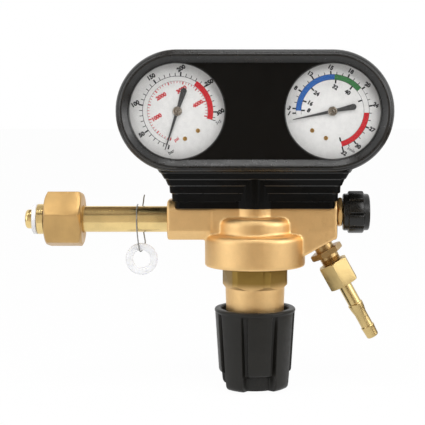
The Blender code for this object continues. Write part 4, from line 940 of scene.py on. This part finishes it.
class REGULATOR_OT_knob(bpy.types.Operator):
    """Builds the adjusting knob with its rolled rim and long and short lobes"""
    bl_idname = "regulator.knob"
    bl_label = "Adjusting knob"

    def execute(self, context):
        rim = 25.6
        foot = 22.3
        top = KNOB_TOP_Z
        bottom = KNOB_BOTTOM_Z
        slope = (rim - 0.3 - foot) / (top - bottom - 2.0)

        def envelope(height):
            return rim - 0.3 - slope * max(top - 2.0 - height, 0.0)

        plain = [(0.0, 1.3), (0.12, 0.8), (0.4, 0.35), (0.8, 0.1), (1.2, 0.0), (1.8, 0.05),
                 (2.3, 0.3)]
        rings = [lobed_ring(top - down, rim - inset, 0.0, rim - inset)
                 for down, inset in plain]
        rings.append(lobed_ring(top - 2.8, rim - 0.4, 0.3, rim - 0.4))
        for down, groove in ((3.2, 1.3), (6.0, 1.9), (10.0, 2.4), (16.0, 2.8), (22.0, 3.1),
                             (28.0, 3.3), (34.0, 3.4), (38.8, 3.5)):
            height = top - down
            rings.append(lobed_ring(height, envelope(height), groove, envelope(height)))
        for down, drop in ((39.6, 0.2), (40.1, 0.6), (40.5, 1.4), (40.8, 3.0), (41.2, 4.6),
                           (42.4, 5.6)):
            height = top - down
            rings.append(lobed_ring(height, envelope(height), max(3.4, drop),
                                    envelope(height) - drop))
        for up, inset in ((4.0, 0.0), (2.4, 0.15), (1.4, 0.55), (0.6, 1.2), (0.0, 2.3)):
            height = bottom + up
            rings.append(lobed_ring(height, envelope(height) - inset,
                                    5.6 - 0.6 * inset,
                                    envelope(height) - 5.6 - 0.4 * inset,
                                    0.6 if up else 0.0, 0.38, 0.26))
        rings.reverse()
        place = BODY_AXIS @ Matrix.Rotation(-math.pi / 2 + math.radians(7.2), 4, "Z")
        knob = loft("fine_knob", rings, place, LOBED_SMOOTH)
        floor = bottom + 9.6
        cavity = turned("cavity", solid_profile(
            (21.9, top + 1.0), (21.9, top - 0.1), (21.5, top - 0.5),
            (21.3, top - 1.2), (20.2, top - 12.0), (18.9, top - 14.0),
            (17.9, floor + 8.0), (13.6, floor + 4.0), (12.6, floor)),
            96, BODY_AXIS)
        socket = rod("socket", 5.3, bottom + 3.0, floor + 1.0, 40, BODY_AXIS)
        dish = turned("dish", solid_profile((12.2, bottom + 0.8),
                                            (12.9, bottom - 0.1),
                                            (12.9, bottom - 1.0)), 96, BODY_AXIS)
        combine(knob, [cavity, socket, dish], "DIFFERENCE")
        wear(knob, "knob_plastic", "knob", ("adjusting_knob",))
        return {"FINISHED"}


class REGULATOR_OT_valve(bpy.types.Operator):
    """Builds the outlet valve's hexagon and its lobed knob"""
    bl_idname = "regulator.valve"
    bl_label = "Outlet valve"

    def execute(self, context):
        bonnet = hexagon("fine_valve_hex", 17.0, SEAT_GAP, 3.4, 8.2,
                         math.radians(16.7), VALVE_AXIS)
        shank = rod("shank", 6.6, -8.2, 1.3, 48, VALVE_AXIS)
        combine(bonnet, [shank], "UNION")
        combine(bonnet, [rod("guide", 3.3, -10.0, 4.4, 40, VALVE_AXIS)],
                "DIFFERENCE")
        soften(bonnet, 0.2, 24.0)
        wear(bonnet, "nut_brass", "frame", ("outlet_valve_bonnet",))
        start = 3.8
        length = 16.4
        end_radius = 11.6
        lobe_radius = 13.2
        plan = ((0.0, end_radius - 0.8, 0.0), (0.3, end_radius - 0.25, 0.0),
                (0.8, end_radius, 0.0), (2.7, end_radius, 0.0), (3.0, end_radius + 0.15, 0.1),
                (3.2, lobe_radius - 0.7, 0.7), (3.5, lobe_radius - 0.2, 1.1),
                (4.0, lobe_radius, 1.3), (8.0, lobe_radius, 1.3), (12.0, lobe_radius, 1.3),
                (12.5, lobe_radius - 0.25, 1.0), (12.8, lobe_radius - 0.9, 0.5),
                (13.1, end_radius + 0.1, 0.05), (13.5, end_radius - 0.1, 0.0),
                (15.3, end_radius - 0.15, 0.0), (15.9, end_radius - 0.5, 0.0),
                (16.2, end_radius - 0.9, 0.0), (16.4, end_radius - 1.5, 0.0))
        rings = [self.ring(start + along, radius, groove) for along, radius, groove in plan]
        knob = loft("fine_valve_knob", rings, VALVE_AXIS @ Matrix.Rotation(0.2, 4, "Z"), LOBED_SMOOTH)
        hub = rod("hub", 3.3, start - 1.0, start + length - 3.0, 40, VALVE_AXIS)
        dish = turned("dish", solid_profile(
            (7.9, start + length + 1.0), (7.9, start + length - 0.1),
            (7.3, start + length - 0.8)), 64, VALVE_AXIS)
        combine(knob, [hub, dish], "DIFFERENCE")
        wear(knob, "valve_plastic", "valve_knob", ("outlet_valve_knob",))
        return {"FINISHED"}

    def ring(self, height, radius, groove):
        """One ring of the valve knob: nine wide lobes with narrow grooves between."""
        lobes = 9
        per_lobe = 20
        points = []
        for i in range(lobes * per_lobe):
            turn = i / per_lobe
            away = abs(turn - round(turn)) / 0.5
            here = radius - groove * ease((away - LOBE_SHARE) / (1.0 - LOBE_SHARE))
            points.append(around(here, turn * 2 * math.pi / lobes, height))
        return points


# Inlet

class REGULATOR_OT_inlet(bpy.types.Operator):
    """Builds the inlet stem with its nose and collar, and the union nut"""
    bl_idname = "regulator.inlet"
    bl_label = "Inlet"

    def execute(self, context):
        stem_end = BODY_X - ARM_LEFT + 13.7
        tip = -7.5
        stem = turned("fine_stem", [
            (8.2, stem_end), (8.2, 4.3), (9.2, 4.3), (9.5, 4.0),
            (9.5, 0.3), (9.2, 0.0), (5.4, 0.0), (5.4, -3.2),
            (5.8, -3.2), (6.0, -3.5),
            *arc((4.2, tip + 1.8), 1.8, 0, -90, 8),
            (3.9, tip), (3.7, tip + 0.3), (3.7, 0.5), (2.5, 0.5),
            (2.5, stem_end),
        ], place=ALONG_X)
        wear(stem, "stem_brass", "frame", ("inlet_stem",))
        start = 5.3
        end = 28.5
        nut = hexagon("fine_inlet_nut", 32.0, start, end, 15.2, math.radians(16.6), ALONG_X)
        bore = turned("bore", solid_profile(
            (8.6, end + 1.0), (8.6, end - 4.0), (10.4, end - 4.0),
            *[(10.4 + (0.7 if i % 2 else 0.0), end - 6.0 - i * 0.75)
              for i in range(21)],
            (10.4, start + 1.4), (11.8, start - 0.1),
            (11.8, start - 1.0)), 96, ALONG_X)
        combine(nut, [bore], "DIFFERENCE")
        soften(nut, 0.3, 20.0)
        wear(nut, "nut_brass", "inlet_union", ("inlet_nut",))
        return {"FINISHED"}


class REGULATOR_OT_seals(bpy.types.Operator):
    """Builds the seal on the stem and the spare seal on its steel wire"""
    bl_idname = "regulator.seals"
    bl_label = "Seals"

    def execute(self, context):
        seal = turned("fine_inlet_seal", [
            (9.1, -0.3), (9.4, -0.6), (9.4, -2.2),
            *arc((8.8, -2.3), 0.6, 0, -90, 5),
            (5.7, -2.9), (5.7, -0.3)], 96, ALONG_X)
        wear(seal, "seal_nylon", "frame", ("inlet_seal",))
        x = BODY_X - 71.3
        drop = 25.2
        half = 1.2
        spare = turned("fine_spare_seal", [
            (9.6, half - 0.05), (9.85, half - 0.2), (10.0, half - 0.5),
            (10.0, 0.5 - half), (9.85, 0.2 - half), (9.6, 0.05 - half),
            (9.0, -half), (6.0, -half), (5.75, 0.15 - half),
            (5.6, 0.4 - half), (5.6, half - 0.4), (5.75, half - 0.15),
            (6.0, half), (9.0, half),
        ], 96, frame_along((x, 0.0, -drop), (0.0, -1.0, 0.0)))
        wear(spare, "seal_nylon", "spare_seal_loop", ("spare_seal",))
        self.add_wire(x, drop, half)
        return {"FINISHED"}

    def add_wire(self, x, drop, half):
        """The wire: up behind the stem, through the spare seal and back over the front."""
        radius = 0.4
        loop = 8.2 + SEAT_GAP + radius
        top_of_bore = -drop + 5.6 - SEAT_GAP - radius
        step_out = half + SEAT_GAP + 2 * radius
        points = [(x + 1.8, 3.4, loop + 6.0), (x + 1.3, 4.4, loop + 4.0),
                  (x + 1.0, 5.0, loop + 1.8)]
        for degrees in (50, 20, -10, -40):
            y, z, x_shift = around(loop * 1.03, math.radians(degrees), 0.4)
            points.append((x + x_shift, y, z))
        points += [
            (x + 1.4, 4.6, -11.5), (x + 2.0, 3.4, -15.5),
            (x + 0.8, step_out, top_of_bore + 1.6),
            (x, half + SEAT_GAP, top_of_bore + 0.1), (x - 0.4, 0.0, top_of_bore - 0.15),
            (x - 0.8, -half - SEAT_GAP, top_of_bore + 0.1),
            (x - 1.2, -step_out, top_of_bore + 1.6), (x - 1.8, -4.8, -13.0),
        ]
        for degrees in (-45, -20, 5, 30, 55, 80, 100):
            y, z, x_shift = around(loop * 1.03, math.radians(degrees), 2.2)
            points.append((x - x_shift, -y, z))
        wire = tube("fine_seal_wire", smooth_path(points, 7), radius, 12)
        wear(wire, "bright_steel", "spare_seal_loop", ("seal_wire",))


# Outlet

class REGULATOR_OT_outlet(bpy.types.Operator):
    """Builds the outlet nipple, its union nut and the barbed hose tail"""
    bl_idname = "regulator.outlet"
    bl_label = "Outlet"

    def execute(self, context):
        flange_start = 3.6
        flange_end = 7.2
        nipple = hexagon("fine_nipple", 18.4, flange_start, flange_end, 9.9,
                         math.radians(52.0), OUTLET_AXIS)
        threads = [(6.2 - (0.45 if i % 2 else 0.0), flange_end + 8.4 - i * 0.5)
                   for i in range(13)]
        shank = turned("shank", solid_profile(
            (5.6, flange_end + 9.0), *threads, (5.6, flange_start + 1.0),
            (6.0, flange_start + 1.0), (6.0, SEAT_GAP), (5.2, SEAT_GAP),
            (5.2, -5.7)), 64, OUTLET_AXIS)
        combine(nipple, [shank], "UNION")
        combine(nipple, [rod("bore", 3.0, -8.0, flange_end + 10.0, 32, OUTLET_AXIS)],
                "DIFFERENCE")
        wear(nipple, "flange_brass", "frame", ("outlet_nipple",))
        nut_start = flange_end + 5.8
        nut_end = nut_start + 15.9
        nut = hexagon("fine_union_nut", 17.7, nut_start, nut_end, 9.2,
                      math.radians(34.0), OUTLET_AXIS)
        land = 3.0
        bore = turned("bore", solid_profile(
            (4.5, nut_end + 1.0), (4.5, nut_end - land), (6.6, nut_end - land),
            (6.6, nut_start + 0.8), (7.2, nut_start - 0.2),
            (7.2, nut_start - 1.0)), 64, OUTLET_AXIS)
        combine(nut, [bore], "DIFFERENCE")
        soften(nut, 0.25, 20.0)
        wear(nut, "satin_brass", "outlet_union", ("outlet_union_nut",))
        self.add_tail(flange_end + 9.3, nut_end, nut_end - land - SEAT_GAP)
        return {"FINISHED"}

    def add_tail(self, start, nut_end, collar_end):
        """The hose tail with two barbs and a rounded tip."""
        tip = nut_end + 38.1
        profile = [(2.0, tip - 0.2), (2.2, tip), (3.1, tip),
                   (3.5, tip - 0.3), (3.75, tip - 1.2)]
        for crest, barb, tube_radius in ((30.3, 4.35, 3.85),
                                         (14.1, 4.85, 4.2)):
            profile += [(3.85, nut_end + crest + 7.0),
                        (barb - 0.35, nut_end + crest + 3.6),
                        (barb - 0.08, nut_end + crest + 0.9),
                        (barb, nut_end + crest + 0.3),
                        (barb - 0.1, nut_end + crest - 0.1),
                        (tube_radius, nut_end + crest - 0.5)]
        profile += [(4.2, collar_end), (5.6, collar_end), (5.6, start),
                    (2.0, start)]
        tail = turned("fine_hose_tail", profile, 64, OUTLET_AXIS)
        wear(tail, "fitting_brass", "tail", ("hose_tail",))


# Gauges

def on_dial(radius, degrees, level):
    """The point on a dial at an angle clockwise from the top."""
    angle = math.radians(degrees)
    return Vector((radius * math.sin(angle), radius * math.cos(angle), level))


def sector(data, place, inner, outer, start, end, level):
    """A flat arc band on a dial, angles in degrees clockwise from the top."""
    step = 3.0
    count = max(int(abs(end - start) / step), 1)
    rows = []
    for i in range(count + 1):
        angle = start + (end - start) * i / count
        rows.append([data.verts.new(place @ on_dial(radius, angle, level))
                     for radius in (inner, outer)])
    for a, b in zip(rows, rows[1:]):
        data.faces.new((a[0], a[1], b[1], b[0]))


def mark(data, place, angle, inner, outer, width, level):
    """A straight mark across a dial's scale."""
    turn = place @ Matrix.Rotation(-math.radians(angle), 4, "Z")
    half = width / 2
    data.faces.new([data.verts.new(turn @ Vector((x, y, level)))
                    for x, y in ((-half, inner), (-half, outer), (half, outer), (half, inner))])


def lettering(data, place, text, angle, radius, size, level, bold=0.06):
    """Upright text printed on a dial at an angle and a radius."""
    curve = bpy.data.curves.new("figures", "FONT")
    curve.body = text
    curve.size = size
    curve.align_x = "CENTER"
    curve.align_y = "CENTER"
    curve.offset = bold * size
    curve.resolution_u = 3
    source = link(bpy.data.objects.new("figures", curve))
    bpy.context.view_layer.update()
    mesh = bpy.data.meshes.new_from_object(source.evaluated_get(
        bpy.context.evaluated_depsgraph_get()))
    mesh.transform(place @ Matrix.Translation(on_dial(radius, angle, level)))
    data.from_mesh(mesh)
    bpy.data.meshes.remove(mesh)
    bpy.data.objects.remove(source, do_unlink=True)
    bpy.data.curves.remove(curve)


def high_side_print(place, lift):
    """Print of the cylinder pressure dial: an outer black scale and an inner red one."""
    zero = 224.0
    end = zero + 270.0
    span = 270.0 / 315.0
    psi_per_bar = 14.5038

    def black(data):
        sector(data, place, 21.15, 21.45, zero, end, lift)
        for value in range(0, 316, 10):
            heavy = value % 50 == 0
            mark(data, place, zero + value * span, 21.4, 24.0 if heavy else 23.4,
                 0.9 if heavy else 0.45, lift)
        mark(data, place, end, 21.4, 24.0, 0.5, lift)
        sector(data, place, 18.35, 18.5, zero, end, lift)
        for value in (50, 100, 150, 200, 250, 300):
            lettering(data, place, str(value), zero + value * span, 26.1, 3.5, lift)
        lettering(data, place, "315", zero + 271.0, 26.0, 2.4, lift, 0.02)
        lettering(data, place, "bar", 219.0, 25.2, 3.0, lift, 0.02)

    def red(data):
        sector(data, place, 18.6, 21.9, zero + 232.0 * span, end, lift + 0.02)
        for value in range(0, 4501, 100):
            heavy = value % 500 == 0
            mark(data, place, zero + value / psi_per_bar * span, 16.6 if heavy else 17.1,
                 18.4, 0.7 if heavy else 0.38, lift)
        for value in (1000, 2000, 3000, 4000):
            lettering(data, place, str(value), zero + value / psi_per_bar * span, 13.3, 3.3, lift)
        lettering(data, place, "psi", 212.0, 17.2, 2.9, lift, 0.02)
    return {"ink_black": black, "ink_red": red}


# Numbers of the flow dial's two scales, with their angles clockwise from the top
FLOW_SCALE = ((237.0, "1"), (244.0, "3"), (272.0, "8"), (298.8, "12"), (327.0, "15"), (354.4, "18"),
              (383.0, "20"), (412.0, "24"), (445.0, "27"), (474.0, "30"), (494.6, "32"))
FLOW_INNER = ((241.5, "8"), (259.3, "16"), (287.4, "24"), (335.6, "32"), (368.4, "40"))


def flow_print(place, lift):
    """Print of the flow dial: two scales with a blue, a green and a red band between."""
    def black(data):
        for radius in (22.3, 19.1):
            sector(data, place, radius, radius + 0.22, 234.0, 494.6, lift)
        for angle, text in FLOW_SCALE:
            mark(data, place, angle, 22.4, 24.6, 0.95, lift)
            lettering(data, place, text, angle, 26.6, 3.4, lift)
        for (first, text), (second, other) in zip(FLOW_SCALE[1:], FLOW_SCALE[2:]):
            count = 3 if other != "32" else 2
            for i in range(1, count):
                mark(data, place, first + (second - first) * i / count, 22.4, 24.0, 0.45, lift)
        for angle, text in FLOW_INNER:
            mark(data, place, angle, 16.9, 19.2, 0.95, lift)
            lettering(data, place, text, angle, 14.6, 3.4, lift)
        for angle in (399.5, 494.6):
            mark(data, place, angle, 16.6, 19.2, 0.95, lift)
        lettering(data, place, "l/min", 124.0, 26.4, 2.5, lift, 0.015)

    def band(start, end):
        return lambda data: sector(data, place, 19.3, 22.35, start, end, lift + 0.01)
    return {"ink_black": black, "ink_blue": band(241.0, 333.0), "ink_green": band(333.0, 381.0),
            "ink_red": band(422.6, 494.6)}


# Where both pointers rest, in degrees clockwise from the top
POINTER_REST = 228.0


class REGULATOR_OT_gauges(bpy.types.Operator):
    """Builds both gauges: case, printed dial, pointer with its hub, dial screws and back disc"""
    bl_idname = "regulator.gauges"
    bl_label = "Gauges"

    def execute(self, context):
        lift = context.scene.regulator_detail.print_lift / MM
        for side, label in ((-1, "left"), (1, "right")):
            place = dial_frame(side)
            self.add_case(side, label, place)
            self.add_dial(label, place)
            prints = (high_side_print if side < 0 else flow_print)(place, -DIAL_Y + lift)
            for ink, fill in prints.items():
                piece = mesh_piece("fine_" + ink + "_" + label, fill)
                wear(piece, ink, "frame")
            self.add_pointer(label, place)
            self.add_screws(side, label)
        return {"FINISHED"}

    def add_case(self, side, label, place):
        """The pressed steel case, with the rubber disc that vents at its back."""
        front = 19.4
        back = -9.0
        case = turned("fine_case_" + label, [
            (28.9, front), (30.6, front), (31.2, front - 0.2),
            (31.5, front - 0.7), (31.5, back + 1.5),
            *arc((30.0, back + 1.5), 1.5, 0, -90, 5),
            (24.0, back), (23.6, back + 0.3), (22.0, back + 0.3),
            (21.6, back), (9.0, back), (9.0, back + 1.0),
            (29.5, back + 1.0), (30.5, back + 2.0), (30.5, front - 1.0),
            (28.9, front - 1.0)], place=place)
        notch = rod("notch", 7.2, CASE_RADIUS - 9.0, CASE_RADIUS + 5.0, 40,
                    stem_frame(side))
        combine(case, [notch], "DIFFERENCE")
        wear(case, "case_steel", "frame", ("gauge_case_" + label,))
        disc = turned("vent_disc_" + label, solid_profile(
            (8.2, back + 0.9), (8.9, back + 0.7), (8.9, back - 0.2),
            (8.4, back - 0.5), (3.0, back - 0.6), (2.6, back - 0.2)),
            64, place)
        wear(disc, "diaphragm_rubber", "frame")

    def add_dial(self, label, place):
        """The dial plate with its slightly rolled edge."""
        top = -DIAL_Y
        dial = turned("fine_dial_" + label, [
            (29.2, top), (29.5, top - 0.1), (29.6, top - 0.4),
            (29.4, top - 0.8), (1.5, top - 0.8), (1.5, top)], place=place)
        wear(dial, "dial_paint", "frame", ("dial_" + label,))

    def add_pointer(self, label, place):
        """The pointer: a blade that narrows to its tip, a thick round-ended tail, a hub."""
        spin = place @ Matrix.Rotation(-math.radians(POINTER_REST), 4, "Z")
        tail = arc((0.0, -12.95), 1.85, 180, 360, 12)
        outline = [(0.22, 24.6), (0.0, 25.0), (-0.22, 24.6),
                   (-0.95, 2.0), (-1.0, -3.0), *tail, (1.0, -3.0),
                   (0.95, 2.0)]
        low = -DIAL_Y + 0.6
        blade = prism("fine_pointer_" + label, outline, low, low + 0.5, spin)
        soften(blade, 0.12, 40.0)
        arbor = rod("arbor", 0.9, low - 9.6, low + 0.3, 24, spin)
        combine(blade, [arbor], "UNION")
        body = label + "_hand"
        wear(blade, "pointer_paint", body, ("pointer_" + label,))
        hub_low = low + 0.5
        hub = turned("pointer_hub_" + label, [
            (0.0, hub_low + 0.42), (0.9, hub_low + 0.42),
            (1.1, hub_low + 0.3), (1.3, hub_low + 0.42),
            (2.1, hub_low + 0.46), (2.3, hub_low + 0.3),
            (2.5, hub_low + 0.42), (2.8, hub_low + 0.3),
            (2.9, hub_low + 0.02), (0.0, hub_low + 0.02)], 64, spin)
        wear(hub, "hub_nickel", body)

    def add_screws(self, side, label):
        """Two slotted brass screws that hold the dial."""
        spots = ((12.5, -11.9), (4.5, -16.8)) if side < 0 else ((-12.4, -11.8), (-4.0, -16.4))
        for number, (x, y) in enumerate(spots):
            place = upright_frame(side) @ Matrix.Translation((x, y, -DIAL_Y))
            head = turned("dial_screw_%s_%d" % (label, number), solid_profile(
                (0.9, 0.5), (1.25, 0.35), (1.35, 0.02)), 32, place)
            slot = block("slot", (-1.5, -0.17, 0.25), (1.5, 0.17, 1.0),
                         place @ Matrix.Rotation(0.6 + number, 4, "Z"))
            combine(head, [slot], "DIFFERENCE")
            wear(head, "screw_brass", "frame")




# Boot

PANEL_Y = -21.0
GUARD_STEP_Y = -11.2
SKIRT_BOTTOM_Z = 7.5
SKIRT_TOP_Z = 33.5
SKIRT_HALF_WIDTH = 49.6
SKIRT_HALF_DEPTH = 13.6


def round_both(radius, y):
    """A ring round both gauges at one depth."""
    steps = 40
    points = []
    for side in (1, -1):
        for i in range(steps + 1):
            x, z, _ = around(radius, math.pi * (i / steps - 0.5) + (0.0 if side > 0 else math.pi))
            points.append((BODY_X + side * GAUGE_OFFSET + x, y, GAUGE_Z + z))
    return points


def skirt_ring(height, widen, deepen):
    """One ring of the skirt: a rectangle with rounded corners."""
    half_x = SKIRT_HALF_WIDTH + widen
    corner = 4.0
    points = []
    for x_sign, y_sign, start in ((1, 1, 0), (-1, 1, 90), (-1, -1, 180), (1, -1, 270)):
        half_y = SKIRT_HALF_DEPTH + (deepen if y_sign < 0 else 0.0)
        for i in range(7):
            x, y, z = around(corner, math.radians(start + 15 * i), SKIRT_BOTTOM_Z + height)
            points.append((BODY_X + x_sign * (half_x - corner) + x,
                           y_sign * (half_y - corner) + y, z))
    return points


# The guard's profile from its back to the panel: (radius round each gauge, y)
GUARD_PLAN = (
    (32.2, 13.6), (33.4, 13.55), (34.4, 13.2), (35.2, 12.4), (35.8, 11.0), (36.1, 9.2), (36.25, 6.0),
    (36.4, -10.6), (36.45, -11.0), (36.6, -11.15), (37.1, -11.3), (37.35, -11.6), (37.4, -12.2),
    (37.4, -18.0), (37.3, -19.4), (37.0, -20.8), (36.5, -21.9), (35.9, -22.6), (35.45, -22.95),
    (35.25, -22.95), (35.1, -23.1), (35.05, -23.7), (34.85, -24.35), (34.4, -24.8), (33.9, -25.0),
    (33.3, -24.9), (32.8, -24.55), (29.7, -21.5), (29.3, -21.15), (29.1, -21.0),
)
# The skirt's steps: (height, how much wider at each side, how much deeper in front)
SKIRT_PLAN = (
    (0.0, -0.3, -0.3), (0.3, 0.0, 0.0), (3.9, 0.15, 0.05), (4.3, 0.3, 0.15), (4.5, 0.9, 0.5),
    (4.7, 1.4, 0.8), (5.1, 1.6, 0.9), (9.2, 1.75, 0.95), (9.5, 1.95, 1.1), (9.7, 2.5, 1.4),
    (9.9, 2.85, 1.6), (10.3, 3.0, 1.7), (13.9, 3.2, 1.8), (14.2, 3.4, 1.95), (14.45, 3.8, 2.2),
    (14.7, 4.1, 2.4), (18.1, 5.5, 3.0), (18.4, 5.7, 3.2), (18.7, 6.3, 3.5), (19.2, 6.6, 3.7),
    (22.0, 8.2, 4.2), (22.3, 8.5, 4.35), (22.7, 9.2, 4.7), (29.0, 13.0, 6.4),
)


class REGULATOR_OT_boot(bpy.types.Operator):
    """Builds the rubber boot: the guard round both gauges and its ribbed skirt"""
    bl_idname = "regulator.boot"
    bl_label = "Rubber boot"

    def execute(self, context):
        boot = loft("fine_boot", [round_both(radius, y) for radius, y in GUARD_PLAN])
        skirt = loft("skirt", [skirt_ring(*row) for row in SKIRT_PLAN])
        bulge = turned("bulge", solid_profile(
            (16.9, 34.2), (16.9, 8.1), (16.7, 7.65),
            (16.3, 7.5)), place=BODY_AXIS)
        combine(boot, [skirt, bulge], "UNION")
        combine(boot, self.rooms(), "DIFFERENCE")
        combine(boot, self.windows(), "DIFFERENCE")
        wear(boot, "boot_rubber", "frame", ("gauge_boot",))
        self.share_out(boot)
        return {"FINISHED"}

    def rooms(self):
        """The rooms for the gauges, their stems and the top of the body."""
        back_inside = 10.6
        face_back = -19.7
        pocket = loft("pocket", [round_both(31.9, y) for y in (back_inside, face_back)])
        hollow = block("hollow", (BODY_X - 46.6, -11.0, 0.0),
                       (BODY_X + 46.6, 10.4, 38.5))
        bar_room = loft("bar_room", bar_rings(BODY_X - 60.0, BODY_X + 57.0, 0.3, 0.0))
        neck_room = rod("neck_room", 14.8, 0.0, 12.4, 64, BODY_AXIS)
        return [pocket, hollow, bar_room, neck_room]

    def windows(self):
        """The round windows in front, with rounded edges, and the holes at the back."""
        tools = []
        for side in (-1, 1):
            front = upright_frame(side)
            tools.append(turned("window", solid_profile(
                (29.9, 26.0), (29.9, 21.3), (29.5, 20.75),
                (29.1, 20.5), (29.1, 18.7)), place=front))
            tools.append(turned("back_hole", solid_profile(
                (24.9, -9.6), (24.9, -13.0), (25.6, -13.7),
                (25.6, -14.6)), 96, front))
        return tools

    def share_out(self, boot):
        """Duller blacks on the panel and all that lies behind the guard's edge, and painted shade on
        the skirt's steps.
        """
        for name in ("panel_rubber", "back_rubber", "skirt_rubber"):
            boot.data.materials.append(finish(name))
        for face in boot.data.polygons:
            centre = face.center / MM
            on_panel = abs(centre.y - PANEL_Y) < 0.1
            if on_panel:
                face.material_index = 1
            elif centre.z < SKIRT_TOP_Z:
                # Painted shade: the skirt's faces, apart from those that face down, take a darker
                # copy of the rubber
                faces_down = face.normal.z <= -0.5
                face.material_index = 0 if faces_down else 3
            elif centre.y > GUARD_STEP_Y:
                face.material_index = 2


# Inner pieces that keep their CAD shape

INNER_FINISHES = {
    "bright_steel": ("adjusting_screw", "setting_spring", "poppet_spring", "slip_ring",
                     "spring_button"),
    "inner_brass": ("diaphragm_plate", "seat_nozzle", "valve_poppet", "movement_plate_left",
                    "movement_plate_right", "gauge_socket_left", "gauge_socket_right",
                    "bourdon_tube_left", "bourdon_tube_right", "outlet_valve_disc",
                    "outlet_valve_spindle"),
    "diaphragm_rubber": ("diaphragm",),
    "filter_bronze": ("inlet_filter",),
    "lens_plastic": ("lens_left", "lens_right"),
}


class REGULATOR_OT_inner(bpy.types.Operator):
    """Gives the lenses and the inner pieces their finishes"""
    bl_idname = "regulator.inner"
    bl_label = "Inner pieces"

    def execute(self, context):
        for name, nodes in INNER_FINISHES.items():
            for node in nodes:
                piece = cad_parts[node]
                for slot in piece.material_slots:
                    slot.material = finish(name)
        return {"FINISHED"}


class REGULATOR_PT_looks(bpy.types.Panel):
    """Lists the pieces and their settings in the sidebar"""
    bl_idname = "REGULATOR_PT_looks"
    bl_label = "Gas Regulator"
    bl_space_type = "VIEW_3D"
    bl_region_type = "UI"
    bl_category = "Regulator"

    def draw(self, context):
        for step in STEPS:
            self.layout.operator(step.bl_idname)
        for group in ("regulator_finish", "regulator_stage", "regulator_detail"):
            settings = getattr(context.scene, group)
            column = self.layout.column()
            for name in settings.__annotations__:
                column.prop(settings, name)


STEPS = (REGULATOR_OT_stage, REGULATOR_OT_body, REGULATOR_OT_bonnet, REGULATOR_OT_knob,
         REGULATOR_OT_valve, REGULATOR_OT_inlet, REGULATOR_OT_seals, REGULATOR_OT_outlet,
         REGULATOR_OT_gauges, REGULATOR_OT_boot, REGULATOR_OT_inner)
CLASSES = (FinishSettings, StageSettings, DetailSettings, *STEPS, REGULATOR_PT_looks)


def register():
    """Registers the settings, the operators and the panel."""
    for each in CLASSES:
        bpy.utils.register_class(each)
    bpy.types.Scene.regulator_finish = PointerProperty(type=FinishSettings)
    bpy.types.Scene.regulator_stage = PointerProperty(type=StageSettings)
    bpy.types.Scene.regulator_detail = PointerProperty(type=DetailSettings)


def unregister():
    """Removes what register added."""
    del bpy.types.Scene.regulator_finish
    del bpy.types.Scene.regulator_stage
    del bpy.types.Scene.regulator_detail
    for each in reversed(CLASSES):
        bpy.utils.unregister_class(each)


def plain(bounds):
    """Bounds as plain lists of numbers."""
    return [[float(value) for value in corner] for corner in bounds]


def main():
    """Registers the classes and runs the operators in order."""
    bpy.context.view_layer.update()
    register()
    for step in STEPS:
        group, action = step.bl_idname.split(".")
        getattr(getattr(bpy.ops, group), action)()


if __name__ == "__main__":
    main()
